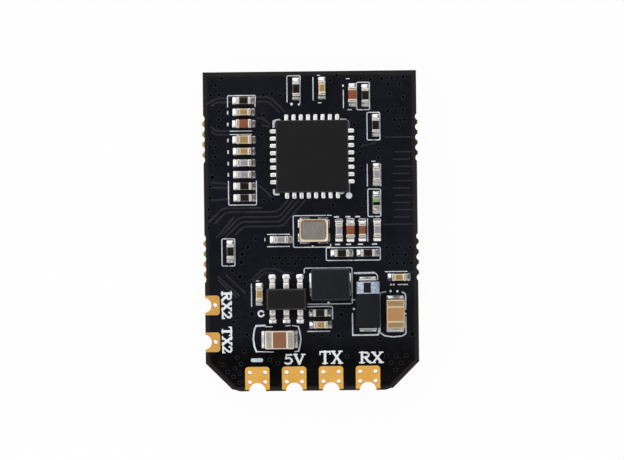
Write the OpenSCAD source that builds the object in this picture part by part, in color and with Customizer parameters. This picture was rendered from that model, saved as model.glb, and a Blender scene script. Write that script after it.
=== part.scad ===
// Radio-control receiver module: a small circuit board with castellated solder contacts on two edges.
// It lies on its back, component side up: +Z up, +Y towards the antenna end, in millimetres.
// The origin is under the middle of the board, on the surface that the module stands on.

/* [Board] */
// Width of the board
board_w = 14.7; // [14.3:0.1:18]
// Length of the board
board_l = 22; // [21.8:0.1:26]
// Thickness of the laminate
board_t = 1; // [0.6:0.1:1.6]
// Leg of the 45 degree cut on both lower corners
corner_cut = 1.95; // [1:0.05:2.1]
// Height of the ledge at the lower end of the cut
ledge_h = 0.14; // [0.05:0.01:0.25]
// Length over which the ledge runs out into the lower edge
ledge_l = 0.62; // [0.4:0.02:0.7]

/* [Break-off tabs] */
// Half-round bites in each broken tab
tab_bites = 5; // [3:1:6]
// Diameter of a bite
bite_d = 0.52; // [0.4:0.02:0.6]
// Distance between bites
bite_pitch = 0.71; // [0.65:0.01:0.8]
// How far a bite's centre lies outside the board's edge
bite_out = 0.16; // [0.1:0.01:0.18]
// How far the broken stubs stand proud of the edge
tab_proud = 0.07; // [0.05:0.01:0.15]
// Height of the upper pair of tabs above the middle of the board
tab_upper_y = 6.38; // [5.5:0.1:7.5]
// Height of the lower pair of tabs above the middle of the board
tab_lower_y = -1.86; // [-2.1:0.05:0]

/* [Edge contacts] */
// Distance between neighbouring contacts
contact_pitch = 2.54; // [2:0.02:2.6]
// Thickness of a copper land
land_t = 0.05; // [0.035:0.005:0.1]
// Thickness of the plating in holes
plating_t = 0.04; // [0.02:0.01:0.06]
// Bore of a plated via
via_d = 0.29; // [0.2:0.01:0.34]
// Corner radius of a land
land_r = 0.22; // [0.1:0.02:0.3]
// Width of a lower contact's land
contact_w = 1.68; // [1.6:0.02:1.9]
// Reach of a lower contact's land from the edge
contact_l = 1.68; // [1.6:0.02:1.9]
// Bare strip between a lower land and the edge
contact_setback = 0.1; // [0.05:0.01:0.2]
// Diameter of a lower contact's half hole
contact_hole_d = 1.13; // [0.9:0.01:1.2]
// Distance from a half hole's wall to the middle of the vias beside it
via_web = 0.243; // [0.23:0.005:0.28]
// Distance between the two rows of vias
via_row = 0.66; // [0.5:0.02:0.75]
// Width of a side contact's land, along the edge
side_w = 1.35; // [1.3:0.05:1.7]
// Reach of a side contact's land from the edge
side_l = 1.01; // [0.95:0.01:1.2]
// Diameter of a side contact's half hole
side_hole_d = 1.06; // [0.9:0.02:1.1]
// How far a side hole's centre lies outside the edge
side_hole_out = 0.1; // [0.05:0.01:0.15]
// Height of the lower side contact above the lower edge
side_first = 3.41; // [3:0.01:3.5]

/* [Solder] */
// Reach of a joint past a small chip
chip_toe = 0.29; // [0.15:0.01:0.3]
// Width of a joint beside a small chip
chip_joint_w = 0.54; // [0.4:0.01:0.6]
// Height to which a joint climbs a small chip's end
chip_climb = 0.18; // [0.1:0.01:0.2]
// Reach of a joint past a large chip
power_toe = 0.28; // [0.2:0.01:0.35]
// Height to which a joint climbs a large chip's end
power_climb = 0.42; // [0.2:0.02:0.6]
// Reach of a joint from a folded terminal
strap_toe = 0.2; // [0.15:0.01:0.3]
// Height to which a joint climbs a folded terminal
strap_climb = 0.3; // [0.15:0.01:0.5]
// Reach of a joint past a leadless package
lead_toe = 0.4; // [0.2:0.02:0.45]
// Reach of a joint past a gull-wing foot
foot_toe = 0.28; // [0.15:0.01:0.3]
// Width of a joint at a gull-wing foot
foot_joint_w = 0.5; // [0.3:0.02:0.6]
// Reach of a joint past the inductor
inductor_toe = 0.08; // [0.05:0.01:0.12]
// Height to which a joint climbs the inductor's end
inductor_climb = 0.28; // [0.15:0.01:0.36]
// Reach of a joint past a crystal or oscillator case
case_toe = 0.14; // [0.08:0.01:0.2]
// Width of a joint at the end of a crystal or oscillator case
case_joint_w = 0.5; // [0.3:0.02:0.52]
// Length of a joint along the side of a crystal or oscillator case
case_joint_l = 0.56; // [0.3:0.02:0.66]
// Height to which a joint climbs a crystal or oscillator case
case_climb = 0.18; // [0.1:0.01:0.28]
// Thickness of a joint at its outer end
toe_t = 0.04; // [0.02:0.01:0.08]

/* [Small chips] */
// Length of a small chip
chip_l = 1; // [0.9:0.02:1.08]
// Width of a small chip
chip_w = 0.5; // [0.4:0.02:0.56]
// Height of a small capacitor
capacitor_h = 0.5; // [0.4:0.02:0.6]
// Length of a thick small capacitor
thick_chip_l = 1.06; // [1:0.02:1.12]
// Width of a thick small capacitor
thick_chip_w = 0.6; // [0.5:0.02:0.62]
// Height of a thick small capacitor
thick_chip_h = 0.6; // [0.5:0.02:0.7]
// Height of a small resistor
resistor_h = 0.36; // [0.3:0.02:0.5]
// Length of a small chip's end terminal
chip_cap = 0.22; // [0.15:0.01:0.26]
// Thickness of the terminal metal over the ceramic
chip_cap_t = 0.02; // [0.01:0.005:0.04]
// Edge radius of the terminals
chip_r = 0.05; // [0.03:0.005:0.08]
// Depth of a resistor's black glaze
glaze_t = 0.05; // [0.03:0.01:0.08]
// Height of the light-emitting chip's carrier
led_base_h = 0.2; // [0.15:0.01:0.3]
// Height of the light-emitting chip's clear block
led_lens_h = 0.24; // [0.15:0.01:0.3]
// Length of the light-emitting chip's clear block
led_lens_l = 0.62; // [0.5:0.02:0.7]

/* [Large chips] */
// Length of a large chip capacitor
power_chip_l = 2; // [1.8:0.05:2.2]
// Width of a large chip capacitor
power_chip_w = 1.25; // [1.1:0.05:1.35]
// Height of a large chip capacitor
power_chip_h = 1.25; // [0.9:0.05:1.25]
// Length of a large chip's end terminal
power_cap = 0.46; // [0.3:0.02:0.6]

/* [Leadless packages] */
// Side of the microcontroller
mcu_size = 5; // [4.9:0.05:5.2]
// Height of the microcontroller
mcu_h = 0.85; // [0.7:0.05:1]
// Lands on each side of the microcontroller
mcu_pins = 8; // [6:1:8]
// Side of a transceiver
radio_size = 4; // [3.8:0.05:4.4]
// Height of a transceiver
radio_h = 0.85; // [0.7:0.05:1]
// Lands on each side of a transceiver
radio_pins = 6; // [4:1:6]
// Distance between lands
lead_pitch = 0.5; // [0.4:0.01:0.52]
// Width of a land
lead_w = 0.26; // [0.2:0.01:0.3]
// Length of a land
lead_l = 0.4; // [0.3:0.02:0.5]
// Thickness of the lead frame
lead_t = 0.2; // [0.12:0.02:0.25]
// Bare frame between the lands and the thermal pad
pad_gap = 0.35; // [0.25:0.05:0.5]

/* [Crystal] */
// Length of a crystal or oscillator case
crystal_l = 2; // [1.8:0.05:2.15]
// Width of a crystal or oscillator case
crystal_w = 1.6; // [1.4:0.05:1.7]
// Height of the ceramic case
crystal_base_h = 0.36; // [0.3:0.02:0.5]
// Radius of the quarter-round corner notches
crystal_notch_r = 0.16; // [0.1:0.01:0.2]
// Height of the seal ring
ring_t = 0.06; // [0.04:0.01:0.1]
// Step from the case to the seal ring, all round
ring_step = 0.07; // [0.04:0.01:0.1]
// Thickness of the metal lid
lid_t = 0.08; // [0.05:0.01:0.12]
// Step from the seal ring to the lid, all round
lid_step = 0.1; // [0.06:0.01:0.14]
// Corner radius of the lid
lid_r = 0.22; // [0.15:0.01:0.3]

/* [Regulator] */
// Length of the regulator's body
regulator_l = 2.76; // [2.6:0.02:2.9]
// Width of the regulator's body
regulator_w = 1.5; // [1.4:0.02:1.64]
// Height of the regulator's body
regulator_h = 1.05; // [0.9:0.05:1.2]
// Gap under the regulator's body
regulator_gap = 0.08; // [0.04:0.02:0.12]
// Distance between gull-wing leads
gull_pitch = 0.95; // [0.9:0.01:1]
// Width of a gull-wing lead
gull_w = 0.4; // [0.3:0.02:0.5]
// Thickness of a gull-wing lead
gull_t = 0.12; // [0.1:0.01:0.15]
// Inner radius of a gull-wing lead's bends
gull_bend = 0.03; // [0.02:0.01:0.05]
// Distance over the tips of two facing leads
gull_span = 2.8; // [2.7:0.05:2.9]
// Length of a gull-wing foot
gull_foot = 0.23; // [0.2:0.01:0.26]
// Slope of the moulded sides, as an offset over half the height
mould_draft = 0.07; // [0.03:0.01:0.1]

/* [Inductor] */
// Length of the inductor
inductor_l = 2.7; // [2.4:0.05:2.75]
// Width of the inductor
inductor_w = 2.12; // [1.9:0.02:2.2]
// Height of the inductor
inductor_h = 1.1; // [0.8:0.05:1.3]
// Radius of the inductor's upright edges
inductor_r = 0.14; // [0.08:0.01:0.25]
// Thickness of the inductor's end terminals
inductor_cap_t = 0.08; // [0.05:0.01:0.1]
// Width of the inductor's end terminals
inductor_cap_w = 1.56; // [1.2:0.02:1.6]
// Height of the inductor's end terminals
inductor_cap_h = 0.55; // [0.4:0.05:0.65]
// Reach of the inductor's terminals under its body
inductor_cap_l = 0.7; // [0.5:0.05:0.9]

/* [Tantalum capacitor] */
// Length over the tantalum capacitor's terminals
tantalum_l = 3.43; // [3.1:0.01:3.5]
// Width of the tantalum capacitor
tantalum_w = 1.62; // [1.4:0.02:1.7]
// Height of the tantalum capacitor
tantalum_h = 1.6; // [1.2:0.05:1.8]
// Width of a folded terminal
strap_w = 1.2; // [0.9:0.05:1.3]
// Thickness of a folded terminal
strap_t = 0.11; // [0.08:0.01:0.14]
// Height at which a terminal leaves the body
strap_h = 0.8; // [0.6:0.05:0.9]
// Reach of a terminal under the body
strap_foot = 0.8; // [0.5:0.05:1]

/* [Antenna sockets] */
// Distance from a socket's middle to the board's side edge
socket_in_x = 2.15; // [1.9:0.05:2.5]
// Distance from a socket's middle to the board's upper edge
socket_in_y = 2.2; // [1.9:0.05:2.5]
// Side of a socket's base
socket_base = 2.6; // [2.4:0.05:2.8]
// Height of a socket's base
socket_base_h = 0.35; // [0.25:0.01:0.45]
// Height of a socket over the board
socket_h = 1.25; // [1.2:0.01:1.5]
// Outer diameter of a socket's shell
socket_d = 2; // [1.8:0.02:2.2]
// Wall of a socket's shell
socket_wall = 0.17; // [0.16:0.01:0.22]
// How far a shell's wall flares out on its way to the board
socket_flare = 0.05; // [0.03:0.01:0.08]
// Depth of the snap groove in a shell
groove_d = 0.05; // [0.03:0.005:0.06]
// Length of the rim below the snap groove
rim_l = 0.35; // [0.3:0.01:0.45]
// Length of the snap groove
groove_l = 0.2; // [0.15:0.01:0.25]
// Diameter of a socket's centre pin
socket_pin_d = 0.5; // [0.4:0.02:0.6]
// Drop of the centre pin below the rim
socket_pin_drop = 0.25; // [0.15:0.01:0.4]
// Reach of the solder feet past a socket's base
socket_foot = 0.25; // [0.15:0.01:0.3]
// Width of a ground foot
socket_foot_w = 1.6; // [1.2:0.05:2]
// Thickness of the feet and of the shell's flange
socket_foot_t = 0.12; // [0.08:0.01:0.16]

/* [Hidden] */
$fn = 32;
cut = 0.5;                                   // Overshoot of cutting shapes
z_back = max(socket_h, power_chip_h);        // Underside of the laminate
z_front = z_back + board_t;                  // Component side of the laminate
edge_x = board_w / 2;
edge_y = board_l / 2;
contact_hole_r = contact_hole_d / 2;
side_hole_r = side_hole_d / 2;
via_r = via_d / 2;
via_turn = 41;                               // Angle of the near vias from a contact's centre line
via_x = (contact_hole_r + via_web) * sin(via_turn);
via_y = (contact_hole_r + via_web) * cos(via_turn);
side_via_x = side_hole_r - side_hole_out + via_web;
inductor_body_l = inductor_l - 2 * inductor_cap_t;
tantalum_body_l = tantalum_l - 2 * strap_t;
regulator_side = regulator_w / 2;
gull_embed = 0.12;                           // Depth of a lead inside the moulding
gull_z = regulator_gap + (regulator_h - gull_t) / 2;
gull_out = 0.23;                             // Straight stretch of a lead outside the moulding
gull_bend_steps = 4;                         // Facets in a quarter of a bend
gull_count = 3;                              // Leads on each long side

// Colours of the finishes
MASK = "#14141c";
GOLD = "#e0a537";
SOLDER = "#d8d8dc";
METAL = "#dcd2c8";
BLACK = "#232323";
TAN = "#aa8750";
RUST = "#964b28";
LILAC = "#a5a0aa";

// Contacts on the lower edge, left to right, and on the left edge, upwards
LOWER = ["contact_ground", "contact_power", "contact_tx", "contact_rx"];
SIDE = ["contact_tx2", "contact_rx2"];

// The column of small chips beside the microcontroller: two runs at one pitch
column_x = -4.54;
column_pitch = 0.8;
column_upper = 9.03;
column_lower = 6.33;
function column(run, i) = [column_x, run - i * column_pitch, 0];

// Length, width and height of the two makes of small capacitor
THIN = [chip_l, chip_w, capacitor_h];
THICK = [thick_chip_l, thick_chip_w, thick_chip_h];

// Small capacitors: name, place and turn, colour, make
CAPACITORS = [
    ["capacitor_1", column(column_upper, 1), TAN, THIN],
    ["capacitor_2", column(column_upper, 2), RUST, THICK],
    ["capacitor_3", column(column_lower, 0), TAN, THICK],
    ["capacitor_4", column(column_lower, 1), TAN, THIN],
    ["capacitor_5", column(column_lower, 2), LILAC, THIN],
    ["capacitor_6", column(column_lower, 3), LILAC, THIN],
    ["capacitor_7", [0.86, 9.82, 90], TAN, THIN],
    ["capacitor_8", [2.95, 9.33, 90], RUST, THICK],
    ["capacitor_9", [4.55, 3.84, 90], LILAC, THIN],
    ["capacitor_10", [1.93, 0.03, 90], LILAC, THIN],
    ["capacitor_11", [2.72, 0.03, 90], RUST, THICK],
    ["capacitor_12", [3.54, 0.03, 90], RUST, THIN],
    ["capacitor_13", [4.56, 0.03, 90], LILAC, THIN],
    ["capacitor_14", [-2.06, -0.58, 0], LILAC, THIN],
    ["capacitor_15", [-3.6, -4.32, 90], TAN, THIN],
    ["capacitor_16", [0.6, -6.46, 0], TAN, THIN],
    ["capacitor_17", [6.02, -3.25, 0], TAN, THIN]
];

// Small resistors: name, place and turn
RESISTORS = [
    ["resistor_1", column(column_upper, 0)],
    ["resistor_2", column(column_lower, 4)],
    ["resistor_3", column(column_lower, 5)],
    ["resistor_4", [-0.92, 9.79, 90]],
    ["resistor_5", [3.83, 9.29, 90]],
    ["resistor_6", [4.53, 7.23, 90]],
    ["resistor_7", [2.11, -1.55, 0]],
    ["resistor_8", [3.9, -1.55, 0]],
    ["resistor_9", [-5.57, -1.36, 90]],
    ["resistor_10", [0.57, -5.65, 0]]
];

// Large capacitors on the component side: name, place and turn, colour
POWER_CHIPS = [
    ["input_capacitor", [-2.24, -7.45, 0], RUST],
    ["output_capacitor", [5.73, -5.77, 90], TAN]
];

// Single parts on the component side: place and turn
MCU_AT = [0.135, 5.135, 0];
CRYSTAL_AT = [0.2, 0.03, 0];
REGULATOR_AT = [-1.75, -4.67, 0];
INDUCTOR_AT = [1.29, -3.7, 0];
TANTALUM_AT = [3.86, -5.08, 90];
LED_AT = [4.52, 1.92, 90];

// Parts on the back, seen from the component side: name, place and turn
RADIOS = [
    ["transceiver_left", [-3.5, 4.1, 0]],
    ["transceiver_right", [3.5, 4.1, 0]]
];
SOCKETS = [
    ["antenna_socket_left", [-edge_x + socket_in_x, edge_y - socket_in_y, 0]],
    ["antenna_socket_right", [edge_x - socket_in_x, edge_y - socket_in_y, 0]]
];
REAR_CHIPS = [
    ["rear_capacitor_left", [-3.5, 0.7, 0], TAN, THIN],
    ["rear_capacitor_right", [3.5, 0.7, 0], TAN, THIN]
];
RESERVOIR_AT = [0, -6.9, 0];
OSCILLATOR_AT = [0, 4.1, 90];

// Stands children on the component side
module on_front(at) {
    translate([at[0], at[1], z_front]) rotate(at[2]) children();
}

// Hangs children from the back
module on_back(at) {
    translate([at[0], at[1], z_back]) rotate(at[2]) mirror([0, 0, 1]) children();
}

// Rectangle with round corners, about its middle
module round_rect(l, w, r) {
    square([l - 2 * r, w], center = true);
    square([l, w - 2 * r], center = true);
    for (x = [-1, 1], y = [-1, 1])
        translate([x * (l / 2 - r), y * (w / 2 - r)]) circle(r);
}

// Block about the Z axis, standing on z = 0
module block(l, w, h) {
    translate([-l / 2, -w / 2, 0]) cube([l, w, h]);
}

// Block with its upright, long and cross edges rounded
module soft_block(l, w, h, r) {
    intersection() {
        linear_extrude(h) round_rect(l, w, r);
        translate([0, w / 2, h / 2]) rotate([90, 0, 0]) linear_extrude(w) round_rect(l, h, r);
        translate([-l / 2, 0, h / 2]) rotate([90, 0, 90]) linear_extrude(l) round_rect(w, h, r);
    }
}

// Moulded body: its sides slope away from a parting line at half height
module moulded(l, w, h) {
    intersection() {
        translate([0, w / 2, 0]) rotate([90, 0, 0]) linear_extrude(w) draft_outline(l, h);
        translate([-l / 2, 0, 0]) rotate([90, 0, 90]) linear_extrude(l) draft_outline(w, h);
    }
}

// End view of a moulded body
module draft_outline(l, h) {
    polygon([
        [-l / 2 + mould_draft, 0], [l / 2 - mould_draft, 0], [l / 2, h / 2],
        [l / 2 - mould_draft, h], [-l / 2 + mould_draft, h], [-l / 2, h / 2]
    ]);
}

// Solder fillet: its upright face stands on x = 0 and it runs out along +X
module fillet(reach, w, h) {
    steps = 4;
    translate([0, w / 2, 0]) rotate([90, 0, 0]) linear_extrude(w)
        polygon(concat([[0, 0]], [for (i = [steps:-1:0]) let (s = i / steps)
            [reach * s, toe_t + (h - toe_t) * pow(1 - s, 2)]]));
}

// A fillet at each end of a part that lies along X
module end_fillets(l, reach, w, h) {
    for (turn = [0, 180]) rotate(turn) translate([l / 2, 0, 0]) fillet(reach, w, h);
}

// Children at every land of a leadless package, turned outwards
module each_land(size, pins) {
    for (side = [0:3], i = [0:pins - 1])
        rotate(90 * side) translate([size / 2, (i - (pins - 1) / 2) * lead_pitch, 0]) children();
}

// Lands and thermal pad of a leadless package
module leadless_frame(size, pins) {
    each_land(size, pins) translate([-lead_l, -lead_w / 2, 0]) cube([lead_l, lead_w, lead_t]);
    pad = size - 2 * (lead_l + pad_gap);
    block(pad, pad, lead_t);
}

// Sawn body of a leadless package, moulded round its lands
module leadless_body(size, pins, h) {
    difference() {
        block(size, size, h);
        leadless_frame(size, pins);
    }
}

// Metal end of a chip, cut from the chip's own rounded form
module chip_ends(l, w, h, cap) {
    for (turn = [0, 180]) rotate(turn) intersection() {
        soft_block(l, w, h, chip_r);
        translate([l / 2 - cap, -w / 2, 0]) cube([cap, w, h]);
    }
}

// Ceramic capacitor: a block held between two metal ends
module chip_capacitor(l, w, h, cap, tint) {
    core_w = w - 2 * chip_cap_t;
    core_h = h - 2 * chip_cap_t;
    core_l = l - 2 * cap;
    color(tint) translate([-core_l / 2, 0, h / 2]) rotate([90, 0, 90])
        linear_extrude(core_l) round_rect(core_w, core_h, chip_r);
    color(METAL) chip_ends(l, w, h, cap);
}

// Film resistor: a white carrier with a black glaze, between two metal ends
module chip_resistor() {
    core_w = chip_w - 2 * chip_cap_t;
    core_l = chip_l - 2 * chip_cap;
    core_h = resistor_h - glaze_t;
    color("white") translate([0, 0, chip_cap_t]) block(core_l, core_w, core_h - chip_cap_t);
    color(BLACK) translate([0, 0, core_h]) block(core_l, core_w, glaze_t);
    color(METAL) chip_ends(chip_l, chip_w, resistor_h, chip_cap);
}

// Laminate outline with cut lower corners, each with a ledge that eases into the lower edge
module board_outline() {
    ledge_x = edge_x - corner_cut + ledge_h;
    steps = 8;
    runout = [for (i = [0:steps]) let (t = i / steps)
        [ledge_x - ledge_l * (1 - t), -edge_y + ledge_h * (1 - cos(180 * t)) / 2]];
    right = concat(runout, [[edge_x, -edge_y + corner_cut], [edge_x, edge_y]]);
    last = len(right) - 1;
    polygon(concat(right, [for (i = [last:-1:0]) [-right[i][0], right[i][1]]]));
}

// Stub of a broken tab and the bites in it, with the board's edge on x = 0 and the board at -X
module tab_stub() {
    run = (tab_bites - 1) * bite_pitch;
    translate([-bite_d, -run / 2]) square([bite_d + tab_proud, run]);
}

module tab_holes() {
    for (i = [0:tab_bites - 1])
        translate([bite_out, (i - (tab_bites - 1) / 2) * bite_pitch]) circle(d = bite_d);
}

// Children at each of the four broken tabs
module each_tab() {
    for (turn = [0, 180], y = [tab_upper_y, tab_lower_y])
        translate([turn == 0 ? edge_x : -edge_x, y]) rotate(turn) children();
}

// Places of the contacts: the board's edge on y = 0 and the board at +Y
module at_lower(i) {
    translate([(i - (len(LOWER) - 1) / 2) * contact_pitch, -edge_y]) children();
}

module at_side(i) {
    translate([-edge_x, -edge_y + side_first + i * contact_pitch]) rotate(-90) children();
}

module lower_vias(r) {
    for (x = [-via_x, via_x], y = [via_y, via_y + via_row]) translate([x, y]) circle(r);
}

module side_via(r) {
    translate([0, side_via_x]) circle(r);
}

// Outline of a contact's land, square at the edge and round inside
module land_outline(w, l, setback) {
    translate([-w / 2, setback]) square([w, l - setback - land_r]);
    translate([-w / 2 + land_r, setback]) square([w - 2 * land_r, l - setback]);
    for (x = [-1, 1]) translate([x * (w / 2 - land_r), l - land_r]) circle(land_r);
}

// Half ring of plating inside the board's edge
module half_barrel(r, out) {
    intersection() {
        difference() {
            translate([0, -out]) circle(r + plating_t);
            translate([0, -out]) circle(r);
        }
        translate([-2 * r, 0]) square([4 * r, 4 * r]);
    }
}

// Laminate with all of its plated holes
module circuit_board() {
    color(MASK) translate([0, 0, z_back]) linear_extrude(board_t) difference() {
        union() {
            board_outline();
            each_tab() tab_stub();
        }
        each_tab() tab_holes();
        for (i = [0:len(LOWER) - 1]) at_lower(i) {
            circle(contact_hole_r + plating_t);
            lower_vias(via_r + plating_t);
        }
        for (i = [0:len(SIDE) - 1]) at_side(i) {
            translate([0, -side_hole_out]) circle(side_hole_r + plating_t);
            side_via(via_r + plating_t);
        }
    }
}

// Gilded contact on the lower edge: a land on each face, a half barrel and four vias
module lower_contact(i) {
    color(GOLD) at_lower(i) {
        difference() {
            union() {
                for (z = [z_back - land_t, z_front]) translate([0, 0, z])
                    linear_extrude(land_t) land_outline(contact_w, contact_l, contact_setback);
                translate([0, 0, z_back]) linear_extrude(board_t) {
                    half_barrel(contact_hole_r, 0);
                    lower_vias(via_r + plating_t);
                }
            }
            translate([0, 0, z_back - cut]) linear_extrude(board_t + 2 * cut) {
                circle(contact_hole_r);
                lower_vias(via_r);
            }
        }
    }
}

// Gilded contact on the left edge: a land on each face, a half barrel and one via
module side_contact(i) {
    color(GOLD) at_side(i) {
        difference() {
            union() {
                for (z = [z_back - land_t, z_front]) translate([0, 0, z])
                    linear_extrude(land_t) land_outline(side_w, side_l, 0);
                translate([0, 0, z_back]) linear_extrude(board_t) {
                    half_barrel(side_hole_r, side_hole_out);
                    side_via(via_r + plating_t);
                }
            }
            translate([0, 0, z_back - cut]) linear_extrude(board_t + 2 * cut) {
                translate([0, -side_hole_out]) circle(side_hole_r);
                side_via(via_r);
            }
        }
    }
}

module microcontroller_body() {
    color(BLACK) on_front(MCU_AT) leadless_body(mcu_size, mcu_pins, mcu_h);
}

module microcontroller_leads() {
    color(METAL) on_front(MCU_AT) leadless_frame(mcu_size, mcu_pins);
}

// Ceramic case with notched corners, and the gilded ring that the lid is sealed to
module crystal_tray() {
    color("#3a3632") linear_extrude(crystal_base_h) difference() {
        square([crystal_l, crystal_w], center = true);
        for (x = [-1, 1], y = [-1, 1])
            translate([x * crystal_l / 2, y * crystal_w / 2]) circle(crystal_notch_r);
    }
    color("#e1be96") translate([0, 0, crystal_base_h]) linear_extrude(ring_t)
        round_rect(crystal_l - 2 * ring_step, crystal_w - 2 * ring_step, lid_r);
}

module crystal_cover() {
    step = ring_step + lid_step;
    color("#96918c") translate([0, 0, crystal_base_h + ring_t]) linear_extrude(lid_t)
        round_rect(crystal_l - 2 * step, crystal_w - 2 * step, lid_r);
}

module crystal_case() {
    on_front(CRYSTAL_AT) crystal_tray();
}

module crystal_lid() {
    on_front(CRYSTAL_AT) crystal_cover();
}

// Points of an arc about a middle
function arc(middle, r, from, to) = [for (i = [0:gull_bend_steps])
    let (a = from + (to - from) * i / gull_bend_steps) middle + r * [cos(a), sin(a)]];

// Gull-wing lead seen from its side, with the body's middle on x = 0: two bends and the straight between them
module gull_outline() {
    tip = gull_span / 2;
    root = regulator_side - gull_embed;
    outer = gull_bend + gull_t;
    knee = [regulator_side + gull_out, gull_z - gull_bend];
    heel = [tip - gull_foot, outer];
    span = heel - knee;
    slope = atan2(-span[1], span[0]) + asin((gull_bend + outer) / norm(span));
    polygon(concat(
        [[root, gull_z + gull_t]], arc(knee, outer, 90, 90 - slope),
        arc(heel, gull_bend, 270 - slope, 270), [[tip, gull_t], [tip, 0]],
        arc(heel, outer, 270, 270 - slope), arc(knee, gull_bend, 90 - slope, 90),
        [[root, gull_z]]
    ));
}

// Children at each lead, turned outwards
module each_gull() {
    for (turn = [90, -90], i = [0:gull_count - 1])
        translate([(i - (gull_count - 1) / 2) * gull_pitch, 0, 0]) rotate(turn) children();
}

module gull_leads() {
    each_gull() translate([0, gull_w / 2, 0]) rotate([90, 0, 0]) linear_extrude(gull_w) gull_outline();
}

module regulator_body() {
    color(BLACK) on_front(REGULATOR_AT) difference() {
        translate([0, 0, regulator_gap]) moulded(regulator_l, regulator_w, regulator_h);
        gull_leads();
    }
}

module regulator_leads() {
    color(METAL) on_front(REGULATOR_AT) gull_leads();
}

// Terminal of the inductor seen from its side: under the body and up its end
module inductor_cap_outline() {
    far = inductor_l / 2;
    near = inductor_body_l / 2;
    polygon([
        [far - inductor_cap_l, 0], [far, 0], [far, inductor_cap_h], [near, inductor_cap_h],
        [near, inductor_cap_t], [far - inductor_cap_l, inductor_cap_t]
    ]);
}

// Pressed block that stands on two terminals
module power_inductor() {
    on_front(INDUCTOR_AT) {
        color("#1e2125") translate([0, 0, inductor_cap_t])
            soft_block(inductor_body_l, inductor_w, inductor_h - inductor_cap_t, inductor_r);
        color(METAL) for (turn = [0, 180]) rotate(turn)
            translate([0, inductor_cap_w / 2, 0]) rotate([90, 0, 0])
                linear_extrude(inductor_cap_w) inductor_cap_outline();
    }
}

// Folded terminal of the tantalum capacitor seen from its side
module strap_outline() {
    far = tantalum_l / 2;
    near = tantalum_body_l / 2;
    polygon([
        [far - strap_foot, 0], [far, 0], [far, strap_h], [near, strap_h],
        [near, strap_t], [far - strap_foot, strap_t]
    ]);
}

module tantalum_straps() {
    for (turn = [0, 180]) rotate(turn) translate([0, strap_w / 2, 0]) rotate([90, 0, 0])
        linear_extrude(strap_w) strap_outline();
}

module tantalum_capacitor() {
    on_front(TANTALUM_AT) {
        color("#25272c") translate([0, 0, strap_t])
            moulded(tantalum_body_l, tantalum_w, tantalum_h - strap_t);
        color(METAL) tantalum_straps();
    }
}

// Light-emitting chip: carrier, two ends and a clear block
module status_led() {
    on_front(LED_AT) {
        color("white") block(chip_l - 2 * chip_cap, chip_w, led_base_h);
        color(METAL) chip_ends(chip_l, chip_w, led_base_h, chip_cap);
        color("#6eaa50") translate([0, 0, led_base_h])
            linear_extrude(led_lens_h) round_rect(led_lens_l, chip_w - 2 * chip_cap_t, chip_r);
    }
}

// Body of a leadless radio chip
module transceiver(at) {
    color(BLACK) on_back(at) leadless_body(radio_size, radio_pins, radio_h);
}

// Lands and thermal pads of the radio chips
module transceiver_leads() {
    color(METAL) for (p = RADIOS) on_back(p[1]) leadless_frame(radio_size, radio_pins);
}

// Insulating base of an antenna socket, with room for the feet that lie in it
module socket_base(at) {
    color("#e8e4d8") on_back(at) difference() {
        block(socket_base, socket_base, socket_base_h);
        socket_feet();
        socket_pin_foot();
        shell_wall();
        translate([0, 0, -cut]) cylinder(d = socket_pin_d, h = socket_base_h + 2 * cut);
    }
}

// Flat ground feet on both sides of a socket
module socket_feet() {
    reach = socket_base / 2 + socket_foot;
    for (turn = [0, 180]) rotate(turn)
        translate([socket_d / 2 - socket_wall, -socket_foot_w / 2, 0])
            cube([reach - socket_d / 2 + socket_wall, socket_foot_w, socket_foot_t]);
}

// Signal foot that leaves a socket towards the lower edge
module socket_pin_foot() {
    reach = socket_base / 2 + socket_foot;
    translate([-socket_pin_d / 2, -reach, 0]) cube([socket_pin_d, reach, socket_foot_t]);
}

// Wall of a shell: flared from the board to a round snap groove, then straight to the rim.
// It is open where the signal foot passes.
module shell_wall() {
    neck = socket_h - rim_l - groove_l / 2;
    section_r = (groove_d * groove_d + groove_l * groove_l / 4) / (2 * groove_d);
    difference() {
        union() {
            cylinder(d1 = socket_d + 2 * socket_flare, d2 = socket_d, h = neck);
            translate([0, 0, neck]) cylinder(d = socket_d, h = socket_h - neck);
        }
        translate([0, 0, -cut]) cylinder(d = socket_d - 2 * socket_wall, h = socket_h + 2 * cut);
        translate([0, 0, neck]) rotate_extrude()
            translate([socket_d / 2 - groove_d + section_r, 0]) circle(section_r);
        translate([-socket_pin_d, -socket_d, -cut])
            cube([2 * socket_pin_d, socket_d, socket_base_h + cut]);
    }
}

// Shell of an antenna socket: its wall and ground feet
module socket_shell(at) {
    color(GOLD) on_back(at) {
        shell_wall();
        difference() {
            socket_feet();
            translate([0, 0, -cut]) cylinder(d = socket_d - 2 * socket_wall, h = socket_foot_t + 2 * cut);
        }
    }
}

// Centre pin of an antenna socket, with its signal foot
module socket_pin(at) {
    color(GOLD) on_back(at) {
        cylinder(d = socket_pin_d, h = socket_h - socket_pin_drop);
        socket_pin_foot();
    }
}

// Oscillator on the back: the same sealed case as the crystal
module oscillator() {
    on_back(OSCILLATOR_AT) {
        crystal_tray();
        crystal_cover();
    }
}

module power_chip(tint) {
    chip_capacitor(power_chip_l, power_chip_w, power_chip_h, power_cap, tint);
}

module small_capacitor(tint, make) {
    chip_capacitor(make[0], make[1], make[2], chip_cap, tint);
}

// Joints on both sides of the four corners of a crystal or oscillator case
module case_joints() {
    end_y = crystal_w / 2 - crystal_notch_r - case_joint_w / 2;
    side_x = crystal_l / 2 - crystal_notch_r - case_joint_l / 2;
    for (turn = [0, 180], way = [-1, 1]) rotate(turn) {
        translate([crystal_l / 2, way * end_y, 0]) fillet(case_toe, case_joint_w, case_climb);
        translate([way * side_x, crystal_w / 2, 0]) rotate(90) fillet(case_toe, case_joint_l, case_climb);
    }
}

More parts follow.
